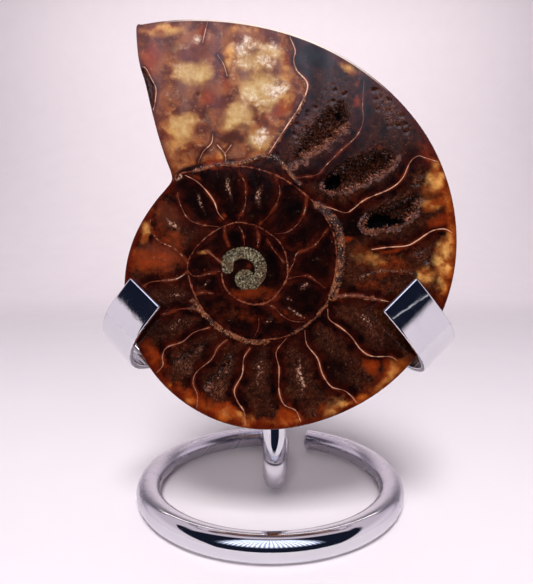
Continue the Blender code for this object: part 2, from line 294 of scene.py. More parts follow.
bent_rod, asked, given = new_group(
    "bent_rod",
    [("Route", "NodeSocketGeometry", None), ("Radius", "NodeSocketFloat", ROD_RADIUS),
     ("Sides", "NodeSocketInt", ROD_SIDES), ("Finish", "NodeSocketMaterial", None)],
    [("Rod", "NodeSocketGeometry")],
    "GeometryNodeTree",
)
route_curve = add_node(bent_rod, "GeometryNodeMeshToCurve", {0: asked["Route"]}).outputs[0]
section = add_node(
    bent_rod, "GeometryNodeCurvePrimitiveCircle", {"Resolution": asked["Sides"], "Radius": asked["Radius"]}
).outputs[0]
share = add_node(
    bent_rod, "GeometryNodeInputNamedAttribute", {"Name": "thickness"}, data_type="FLOAT"
).outputs[0]
skin = add_node(
    bent_rod, "GeometryNodeCurveToMesh",
    {"Curve": route_curve, "Profile Curve": section, "Scale": share, "Fill Caps": True},
).outputs[0]
smooth = add_node(bent_rod, "GeometryNodeSetShadeSmooth", {0: skin}).outputs[0]
bent_rod.links.new(made_real(bent_rod, smooth, asked["Finish"]), given["Rod"])

chrome = chrome_finish()
rod_points = eased_ends(rod_route())
rod_guide = guide_line("rod_route", *zip(*rod_points))
ring_and_stem = made_by_nodes(
    "ring_and_stem", rod_guide, bent_rod, {"Radius": ROD_RADIUS, "Sides": ROD_SIDES, "Finish": chrome}
)
keep_in_box(ring_and_stem.data)
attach(ring_and_stem, "root")
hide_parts("base_rod")

# The arms: two flat strips of plated spring steel, brazed to the front of the stem's top. Each runs down
# behind the fossil, twists a little and curls forward round the rim as a hook.
ARM_WIDTH = 8.4 * MM
ARM_THICKNESS = 1.0 * MM
ARM_EASE = 0.3 * MM
ARM_EASE_STEPS = 4
ARM_EASE_LEAST = 0.02 * MM
ARM_FLAT_HOLD = 0.05 * MM
ARM_SHARP_ANGLE = math.radians(50)
ARM_TOP = Vector((0.8, -3.7, 62.0)) * MM
ARM_TOP_GAP = 0.3 * MM
ARM_TWIST_START = 6.3 * MM
ARM_TWIST_STEPS = 30
ARM_BEND_STEPS = 80
ARM_TIP_STEPS = 24
LEFT_ARM = {
    "side": -1, "turn": 1.5, "drop": 50.3, "roll": 22.4,
    "run": 31.5 * MM, "bend": 9.2 * MM, "sweep": 176.0, "tip": 4.96 * MM, "tip_sweep": 2.0,
}
RIGHT_ARM = {
    "side": 1, "turn": -9.3, "drop": 45.4, "roll": -11.1,
    "run": 35.2 * MM, "bend": 7.4 * MM, "sweep": 154.0, "tip": 10.1 * MM, "tip_sweep": 14.0,
}


def strip_section(inset=0.0):
    """Corners of the strip's section, its edges eased; (across, through) pairs, drawn in by an inset."""
    half_width = ARM_WIDTH / 2 - inset
    half_thick = ARM_THICKNESS / 2 - inset
    ease = max(ARM_EASE - inset, ARM_EASE_LEAST)
    section = []
    for quarter, (side_x, side_y) in enumerate(((1, 1), (-1, 1), (-1, -1), (1, -1))):
        for k in range(ARM_EASE_STEPS + 1):
            angle = math.pi / 2 * (quarter + k / ARM_EASE_STEPS)
            section.append((
                side_x * (half_width - ease) + ease * math.cos(angle),
                side_y * (half_thick - ease) + ease * math.sin(angle),
            ))
    firm = []
    for i, (x, y) in enumerate(section):
        firm.append((x, y))
        following = section[(i + 1) % len(section)]
        if abs(following[0] - x) > 4 * ease or abs(following[1] - y) > 2 * ease:
            side = Vector((following[0] - x, following[1] - y))
            step = side.normalized() * ARM_FLAT_HOLD
            firm += [(x + step.x, y + step.y), (following[0] - step.x, following[1] - step.y)]
    return firm


def curled_strip(name, arm, material):
    """The strip's skin as rows of its section, from the mitred top to the eased tip of the hook."""
    turn, drop, roll = (math.radians(arm[key]) for key in ("turn", "drop", "roll"))
    sideways = Vector((arm["side"] * math.cos(turn), math.sin(turn), 0))
    along = sideways * math.cos(drop) - Vector((0, 0, math.sin(drop)))
    front = Vector((0, -1, 0))
    front = (front - along * front.dot(along)).normalized()
    cross = along.cross(front)
    top = ARM_TOP + ring_centre

    def row(centre, width_axis, face_axis, inset=0.0):
        return [centre + width_axis * x + face_axis * y for x, y in strip_section(inset)]

    mitre_x = arm["side"] * ARM_TOP_GAP / 2
    square_top = row(top, along.cross(front), front)
    rows = [[point + along * ((mitre_x - (point.x - top.x)) / along.x) for point in square_top]]
    for i in range(ARM_TWIST_STEPS + 1):
        share = i / ARM_TWIST_STEPS
        face = front * math.cos(roll * share) + cross * math.sin(roll * share)
        distance = ARM_TWIST_START + (arm["run"] - ARM_TWIST_START) * share
        rows.append(row(top + along * distance, along.cross(face), face))
    width_axis = along.cross(face)
    bend_centre = top + along * arm["run"] + face * arm["bend"]
    sweep = math.radians(arm["sweep"])
    for i in range(1, ARM_BEND_STEPS + 1):
        angle = sweep * i / ARM_BEND_STEPS
        outward = along * math.sin(angle) - face * math.cos(angle)
        rows.append(row(bend_centre + outward * arm["bend"], width_axis, -outward))
    centre = bend_centre + outward * arm["bend"]
    step = (arm["tip"] - ARM_EASE) / ARM_TIP_STEPS
    for i in range(1, ARM_TIP_STEPS + 1):
        angle = sweep + math.radians(arm["tip_sweep"]) * i / ARM_TIP_STEPS
        outward = along * math.sin(angle) - face * math.cos(angle)
        heading = along * math.cos(angle) + face * math.sin(angle)
        centre = centre + heading * step
        rows.append(row(centre, width_axis, -outward))
    for k in range(1, ARM_EASE_STEPS + 1):
        angle = math.pi / 2 * k / ARM_EASE_STEPS
        inset = ARM_EASE * (1 - math.cos(angle))
        rows.append(row(centre + heading * ARM_EASE * math.sin(angle), width_axis, -outward, inset))
    data = bmesh.new()
    skin = [[data.verts.new(point) for point in points] for points in rows]
    count = len(skin[0])
    for upper, lower in zip(skin[:-1], skin[1:]):
        for i in range(count):
            j = (i + 1) % count
            data.faces.new((upper[i], upper[j], lower[j], lower[i]))
    data.faces.new(skin[0])
    data.faces.new(skin[-1])
    bmesh.ops.recalc_face_normals(data, faces=data.faces)
    mesh = bpy.data.meshes.new(name)
    data.to_mesh(mesh)
    data.free()
    mesh.shade_smooth()
    mesh.set_sharp_from_angle(angle=ARM_SHARP_ANGLE)
    mesh.materials.append(material)
    return placed(name, mesh)


hooks = (("left_hook_strip", LEFT_ARM, "left_arm"), ("right_hook_strip", RIGHT_ARM, "right_arm"))
for name, arm, node in hooks:
    strip = curled_strip(name, arm, chrome)
    keep_in_box(strip.data)
    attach(strip, "root")
    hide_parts(node)

# The brazed joint: a lumpy fillet of filler metal between the stem's top and the backs of both strips,
# plated over with the rest.
BRAZE_CENTRE = Vector((0.85, -2.2, 61.6)) * MM
BRAZE_HALF_SIZE = Vector((2.9, 1.1, 3.6)) * MM
BRAZE_LUMP = 0.25 * MM
BRAZE_LUMP_SIZE = 1.3 * MM
BRAZE_SUBDIVISIONS = 4

data = bmesh.new()
bmesh.ops.create_icosphere(data, subdivisions=BRAZE_SUBDIVISIONS, radius=1.0)
for vertex in data.verts:
    point = Vector([vertex.co[axis] * BRAZE_HALF_SIZE[axis] for axis in range(3)])
    lump = noise.noise(point / BRAZE_LUMP_SIZE) * BRAZE_LUMP
    vertex.co = point + vertex.co * lump + BRAZE_CENTRE + ring_centre
mesh = bpy.data.meshes.new("brazed_joint")
data.to_mesh(mesh)
data.free()
mesh.shade_smooth()
mesh.materials.append(chrome)
brazed_joint = placed("brazed_joint", mesh)
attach(brazed_joint, "root")

# The fossil half: a coiled shell turned to calcite, sawn through its middle plane and polished on the cut.
# Its chambers are lined with dark red calcite, parted by thin septa, and a few stayed open as crystal
# hollows. It rests in the two hooks.
COIL_CENTRE = Vector((-4.7, -17.6, 49.7)) * MM + ring_centre
FACE_LEAN = math.radians(5.0)
FACE_RIGHT = Vector((1, 0, 0))
FACE_UP = Vector((0, math.sin(FACE_LEAN), math.cos(FACE_LEAN)))
FACE_OUT = Vector((0, -math.cos(FACE_LEAN), math.sin(FACE_LEAN)))

# Radius of the whorl's outer line at each 30 degrees of growth, from the core to the aperture (mm)
GROWTH_START = -540.0
GROWTH_STEP = 30.0
WHORL_RADII = (
    4.25, 4.75, 5.5, 6.4, 7.35, 7.6, 7.8, 7.9, 7.8, 8.3, 8.65, 9.45, 10.5, 10.5, 11.3, 12.9, 14.5, 16.05,
    16.7, 17.5, 17.75, 18.85, 20.6, 20.75, 21.9, 23.8, 26.35, 29.05, 31.3, 34.8, 38.5, 41.3, 43.25, 46.1,
    51.0, 56.0,
)
RIM_START = 137.0
RIM_END = 473.0
RIM_STEP = 0.75

# The end of the last whorl: (distance from the coil's centre in mm, direction in degrees), tip to notch
APERTURE_EDGE = (
    (49.9, 114.2), (45.9, 116.2), (42.7, 117.5), (39.3, 118.4), (35.6, 120.0), (33.6, 121.0),
    (29.3, 123.4), (25.1, 126.0), (22.3, 128.0), (21.1, 130.5),
)
APERTURE_INWARD = ((18.0, 133.0), (15.0, 137.0), (12.0, 143.0), (8.0, 155.0))
HALF_WIDTH_RATIO = 0.258
RIM_LAND = 0.6
FLANK_CREST = 0.52
UMBILICAL_SHOULDER = 0.36
UMBILICAL_SEAM = 0.26
SHOULDER_HEIGHT = 0.94
CORE_RADIUS = 0.5
CORE_THICKNESS = 2.2
APERTURE_WALL = 2.6
APERTURE_LIP = 0.25
RIBS_PER_WHORL = 40
RIB_HEIGHT = 0.2
RIB_SWAY = 9.0
RIB_START = 0.3

# Septa, drawn on the cut face from the whorl's inner side to its outer side: (right, up) from the coil's
# centre in mm, then the line's half width and its paleness
SEPTA = (
    (((4.3, 21.2), (7.6, 26.3), (10.2, 30.3), (11.6, 34.3), (9.6, 37.0), (9.0, 39.0), (9.3, 40.8),
      (8.3, 43.4)), 0.134, 1.0),
    (((9.3, 16.7), (13.2, 17.3), (14.9, 19.0), (17.8, 21.9), (20.6, 24.5), (21.9, 27.4), (21.8, 30.3),
      (22.1, 35.0)), 0.078, 0.6),
    (((14.0, 11.5), (16.0, 11.0), (18.5, 10.2), (20.0, 11.0), (22.2, 12.7), (26.8, 14.7), (29.1, 16.7),
      (30.5, 19.6), (32.0, 20.8), (33.5, 20.4), (35.7, 19.7)), 0.095, 0.85),
    (((23.3, 3.4), (26.1, 3.8), (29.7, 4.1), (31.7, 5.1), (34.3, 6.8), (36.6, 7.2),
      (38.1, 6.5)), 0.106, 0.95),
    (((16.1, -5.5), (18.1, -5.1), (20.9, -5.1), (23.9, -5.7), (26.3, -6.2)), 0.168, 0.55),
    (((15.1, -7.5), (15.4, -9.4), (17.6, -11.0), (19.4, -12.6), (21.1, -14.9), (23.1, -16.1),
      (26.4, -16.2), (27.8, -17.0)), 0.095, 0.9),
    (((10.9, -11.4), (11.3, -14.0), (13.2, -16.5), (14.1, -19.3), (15.7, -21.6), (18.0, -22.3),
      (19.4, -23.4), (20.3, -24.6)), 0.095, 0.85),
    (((7.6, -12.8), (5.7, -15.4), (6.2, -18.2), (6.2, -22.3), (7.1, -24.8), (9.2, -25.9),
      (10.1, -27.8)), 0.095, 0.8),
    (((0.9, -14.7), (-0.2, -16.5), (-0.5, -19.4), (-1.9, -22.2), (-1.3, -24.3), (-0.1, -26.2),
      (0.1, -28.8)), 0.095, 0.8),
    (((-3.1, -13.0), (-4.9, -14.5), (-6.1, -16.7), (-8.8, -19.0), (-9.4, -21.0), (-8.6, -23.1),
      (-8.7, -25.5)), 0.084, 0.65),
    (((-6.5, -10.9), (-9.3, -11.8), (-11.4, -13.5), (-14.2, -14.5), (-15.0, -16.1), (-14.9, -17.7),
      (-16.1, -19.2)), 0.095, 0.7),
    (((-7.3, -8.2), (-9.3, -7.5), (-11.7, -7.5), (-13.7, -8.1), (-15.4, -8.6)), 0.112, 0.45),
    (((-10.5, -0.7), (-12.5, -2.0), (-14.9, -2.3), (-17.3, -2.6), (-18.6, -3.3)), 0.095, 0.55),
    (((-10.5, 0.8), (-11.4, 2.1), (-13.2, 3.7), (-15.9, 5.0), (-17.2, 7.0), (-17.5, 9.0)), 0.084, 0.45),
    (((-4.8, 7.6), (-8.1, 8.0), (-10.4, 9.0), (-11.7, 11.1), (-12.4, 13.1), (-12.5, 14.0)), 0.067, 0.55),
    (((-11.1, 17.2), (-8.9, 16.0), (-7.1, 14.2), (-5.7, 12.2), (-5.0, 10.2), (-3.9, 8.9)), 0.084, 1.0),
    (((-1.1, 18.7), (-1.1, 17.8), (-0.1, 15.8), (0.1, 13.5), (-0.1, 11.3), (-1.5, 8.4)), 0.056, 0.36),
    (((5.5, 17.2), (6.4, 14.5), (5.7, 11.7), (4.1, 9.4), (2.5, 8.0)), 0.062, 0.4),
    (((11.4, 13.3), (10.9, 10.3), (9.6, 8.0), (7.7, 6.6), (5.4, 6.3)), 0.067, 0.43),
    (((15.1, 7.1), (13.2, 4.6), (11.4, 3.4), (9.5, 2.7), (8.9, 0.9), (7.9, -0.8)), 0.073, 0.47),
    (((7.7, -2.1), (9.5, -1.6), (11.6, -1.5), (12.9, -2.3), (14.5, -3.6)), 0.067, 0.43),
    (((3.6, -6.4), (5.4, -7.3), (6.8, -8.7), (8.6, -9.7), (10.9, -9.9)), 0.067, 0.47),
    (((2.5, -9.2), (2.5, -10.8), (1.8, -12.5)), 0.05, 0.25),
    (((-9.4, -4.9), (-7.7, -4.5), (-5.8, -4.7)), 0.056, 0.29),
    (((-10.3, -0.7), (-9.4, -1.5), (-7.0, -1.2), (-4.3, -0.5)), 0.067, 0.4),
    (((-7.0, 3.2), (-5.7, 2.1), (-4.1, 0.8)), 0.073, 0.68),
    (((-3.8, 7.5), (-3.7, 5.9), (-3.0, 4.1)), 0.056, 0.36),
    (((-1.2, 7.8), (-0.4, 6.3), (-0.1, 4.2)), 0.056, 0.36),
    (((2.1, 7.5), (2.5, 5.7), (2.2, 3.9)), 0.056, 0.36),
    (((4.2, 5.2), (5.0, 3.7), (7.0, 1.1)), 0.056, 0.29),
    (((-7.1, 46.4), (-7.6, 44.3), (-8.0, 42.3)), 0.084, 1.0),
    (((-5.2, 39.9), (-4.1, 38.2), (-3.4, 35.9)), 0.067, 0.95),
    (((-6.0, 25.0), (-6.3, 23.2), (-7.8, 21.6), (-8.7, 19.5)), 0.078, 1.0),
    (((-5.2, 22.9), (-3.8, 21.2), (-3.6, 19.7)), 0.112, 1.0),
    (((-3.8, 21.2), (-2.6, 22.9)), 0.09, 1.0),
    (((-19.7, 37.8), (-18.6, 37.4), (-17.6, 35.5), (-16.7, 33.6), (-16.8, 31.1),
      (-17.3, 28.8)), 0.078, 0.95),
)

# The whorl's wall from the notch inwards, and the golden granular seam along its outside
WHORL_WALL = (
    (-13.8, 16.3), (-11.6, 17.6), (-8.9, 18.1), (-6.0, 19.1), (-2.6, 19.0), (0.8, 18.7), (4.1, 17.8),
    (6.4, 16.9), (9.1, 15.2), (11.4, 13.3), (13.2, 11.5), (15.1, 8.9), (16.4, 5.7), (16.8, 2.3),
    (16.6, -0.7), (15.9, -3.9), (15.0, -6.4), (13.1, -8.9), (10.9, -10.7), (8.6, -12.1), (6.3, -12.8),
    (2.9, -13.2), (0.2, -13.0), (-2.7, -11.8), (-5.0, -10.3), (-7.3, -8.2), (-9.2, -5.0), (-10.3, -1.7),
    (-10.5, 0.8), (-9.7, 2.8), (-8.3, 4.6), (-6.3, 6.3), (-3.9, 7.7), (-1.5, 8.4), (0.8, 8.1), (2.3, 7.7),
    (4.1, 6.6), (5.9, 5.2), (7.2, 3.2), (7.8, 0.5), (7.7, -1.7), (6.8, -3.5), (5.2, -5.5), (3.5, -6.5),
    (1.5, -6.7), (-0.7, -6.1), (-2.7, -4.8), (-3.9, -3.0), (-4.3, -1.0),
)
GOLDEN_SEAMS = (
    (((13.3, 11.6), (15.1, 10.2), (16.9, 8.0), (17.6, 5.2), (17.7, 2.2), (17.4, -1.1), (16.7, -3.3),
      (15.9, -5.3)), 0.8),
    (((16.0, -5.6), (18.1, -5.2), (20.9, -5.2), (23.9, -5.8)), 0.45),
    (((15.0, -6.4), (13.1, -8.9), (10.9, -10.7), (8.6, -12.1)), 0.32),
    (((-8.6, -7.6), (-7.0, -9.0), (-5.2, -10.8), (-2.7, -12.2), (0.5, -13.5), (4.0, -13.6)), 0.45),
    (((-9.5, 17.9), (-5.6, 19.1), (-1.0, 19.5), (4.3, 20.9), (7.0, 19.0), (10.0, 15.5)), 0.35),
    (((4.3, 21.2), (7.6, 26.3), (10.0, 29.6), (11.2, 33.0), (10.4, 35.5)), 0.45),
    (((20.9, -1.8), (22.9, -1.1), (25.1, -0.5), (26.9, -0.7), (29.3, -0.6), (31.5, -1.4)), 0.22),
    (((-9.6, -6.0), (-8.4, -7.2), (-10.2, -7.4)), 0.45),
)

# The innermost whorl, filled with grey-green pyrite grains: a C and the round chamber that it holds
CORE_C = (
    (-3.2, 0.0), (-3.1, 1.5), (-1.9, 2.5), (-0.3, 2.8), (1.3, 2.4), (2.5, 1.3), (2.9, -0.2), (2.5, -1.7),
    (1.5, -2.9),
)
CORE_C_HALF_WIDTH = 1.12
CORE_DISC = (0.0, -2.1)
CORE_DISC_RADIUS = 1.9

# Open hollows: outline on the face, depth and width of the sloping wall (mm). Their walls are uneven by two
# sizes of grain, given by share, size and seed, and their edges are ragged.
HOLLOWS = {
    "upper": (((8.6, 20.4), (9.4, 22.8), (11.3, 25.6), (13.6, 28.6), (16.4, 30.6), (18.6, 30.6),
      (19.4, 28.6), (18.8, 26.0), (16.8, 24.0), (14.0, 22.2), (11.0, 20.4)), 1.3, 1.5),
    "middle": (((14.2, 14.8), (15.9, 18.0), (18.5, 19.8), (21.6, 21.2), (24.6, 22.3), (27.2, 21.6),
      (28.0, 20.0), (26.8, 18.4), (24.1, 16.4), (21.0, 15.2), (18.2, 14.0), (15.9, 13.7)), 2.4, 1.3),
    "lower": (((21.2, 7.0), (22.3, 9.9), (24.9, 11.3), (27.8, 12.4), (30.4, 13.6), (31.8, 13.8),
      (32.2, 12.0), (30.9, 9.4), (28.8, 7.8), (26.4, 7.0), (23.6, 6.3)), 2.6, 1.2),
    "foot_right": (((-7.0, -21.6), (-6.5, -20.0), (-4.9, -18.5), (-4.0, -17.0), (-3.1, -15.8),
      (-2.1, -16.4), (-2.1, -18.2), (-3.0, -19.6), (-4.5, -20.7), (-6.0, -22.0)), 1.5, 0.8),
    "foot_left": (((-13.0, -17.0), (-11.8, -16.0), (-10.0, -15.1), (-8.7, -13.8), (-7.5, -13.5),
      (-7.3, -14.8), (-8.5, -16.1), (-10.3, -17.0), (-12.1, -17.7)), 1.3, 0.8),
}
# Holes deeper in the hollows, with how much deeper (mm); their floors are painted near black, a painted shade
BLACK_HOLES = (
    (((14.6, 14.6), (15.0, 17.0), (17.0, 18.4), (18.4, 17.8), (18.0, 15.6), (15.9, 14.0)), 1.6),
    (((22.4, 7.8), (23.0, 10.2), (25.8, 10.9), (28.5, 10.3), (30.3, 8.9), (29.0, 8.1), (26.7, 7.6),
      (24.5, 7.2)), 1.6),
    (((-3.6, -17.5), (-2.9, -16.3), (-2.4, -17.1), (-2.4, -18.4), (-3.0, -18.7)), 1.0),
    (((-12.2, -16.8), (-10.3, -15.9), (-9.3, -16.0), (-10.2, -16.7), (-11.8, -17.2)), 0.9),
    (((18.0, 27.2), (18.6, 29.4), (17.4, 30.0), (16.4, 28.4)), 0.7),
)
HOLLOW_GRAIN = 0.32
GRAIN_SIZES = ((0.65, 0.75, 1.0), (0.35, 0.38, 5.0))
HOLLOW_EDGE = (0.02, 0.25)
HOLLOW_RAGGED = 0.6
HOLLOW_RAGGED_SIZE = 1.3
PIT_SIZE = 0.8
PIT_DEPTH = 0.3

# The hollows' lower edges, painted pinker and paler as light where they face up, and the chip out of the
# aperture's edge
LIT_LOWER_EDGES = (
    (((8.7, 18.9), (11.6, 20.8), (13.9, 22.6), (16.5, 24.3), (18.8, 26.2)), 1.3),
    (((14.2, 15.4), (15.9, 14.2), (18.6, 14.2), (21.9, 15.2), (24.9, 17.0), (27.1, 18.4),
      (28.2, 20.4)), 0.75),
    (((22.2, 9.6), (21.3, 7.6), (23.2, 6.5), (26.4, 7.2), (29.2, 8.0), (31.2, 9.8), (32.4, 12.4)), 0.7),
    (((-6.7, -21.8), (-5.0, -20.2), (-3.4, -18.6), (-2.6, -16.6)), 0.6),
    (((-12.7, -17.4), (-10.5, -16.4), (-8.0, -14.5)), 0.5),
)
LIT_LOWER_EDGE_RAGGED = 1.1
LIT_LOWER_EDGE_RAGGED_SIZE = 1.5
CHIP = (
    (-21.5, 38.6), (-19.7, 37.9), (-18.6, 37.2), (-17.7, 35.4), (-16.9, 33.6), (-17.0, 31.1),
    (-17.5, 28.9), (-20.5, 27.6), (-23.0, 33.0),
)
CHIP_DEPTH = 0.45

# The last two chambers, filled with pale calcite; and how strongly the rim glows, by direction in degrees
PALE_CHAMBERS = (
    (-24.0, 50.0), (9.4, 47.0), (8.6, 43.4), (9.5, 40.8), (9.2, 39.0), (9.8, 37.0), (11.6, 34.3),
    (10.2, 30.3), (7.5, 26.3), (5.0, 22.6), (3.0, 20.6), (-1.0, 20.0), (-6.0, 19.9), (-8.9, 19.0),
    (-11.6, 18.2), (-14.5, 16.6), (-24.0, 20.0),
)
RIM_GLOW = (
    (-255, 0.3), (-225, 0.35), (-200, 0.75), (-180, 0.5), (-160, 0.35), (-145, 0.6), (-130, 0.68),
    (-105, 0.9), (-85, 0.95), (-65, 0.6), (-45, 0.8), (-33, 0.95), (-22, 0.3), (-12, 0.35), (-3, 1.0),
    (12, 0.9), (24, 1.0), (31, 0.6), (38, 0.1), (50, 0.05), (58, 0.45), (66, 0.1), (105, 0.2),
)
GLOW_REACH = 3.4
GLOW_UNEVEN = 0.5
GLOW_UNEVEN_SIZE = 4.0
RIM_LINING = 1.3
INNER_WHORLS_END = 131.0

# Where a painted highlight runs along the rim's top edge, as light from above would catch it: by direction
# and then by growth, in degrees
EDGE_HIGHLIGHT_DIRECTIONS = ((50, 0), (58, 0.55), (72, 1), (100, 0.8), (108, 0.2))
EDGE_HIGHLIGHT_GROWTH = (380, 400)
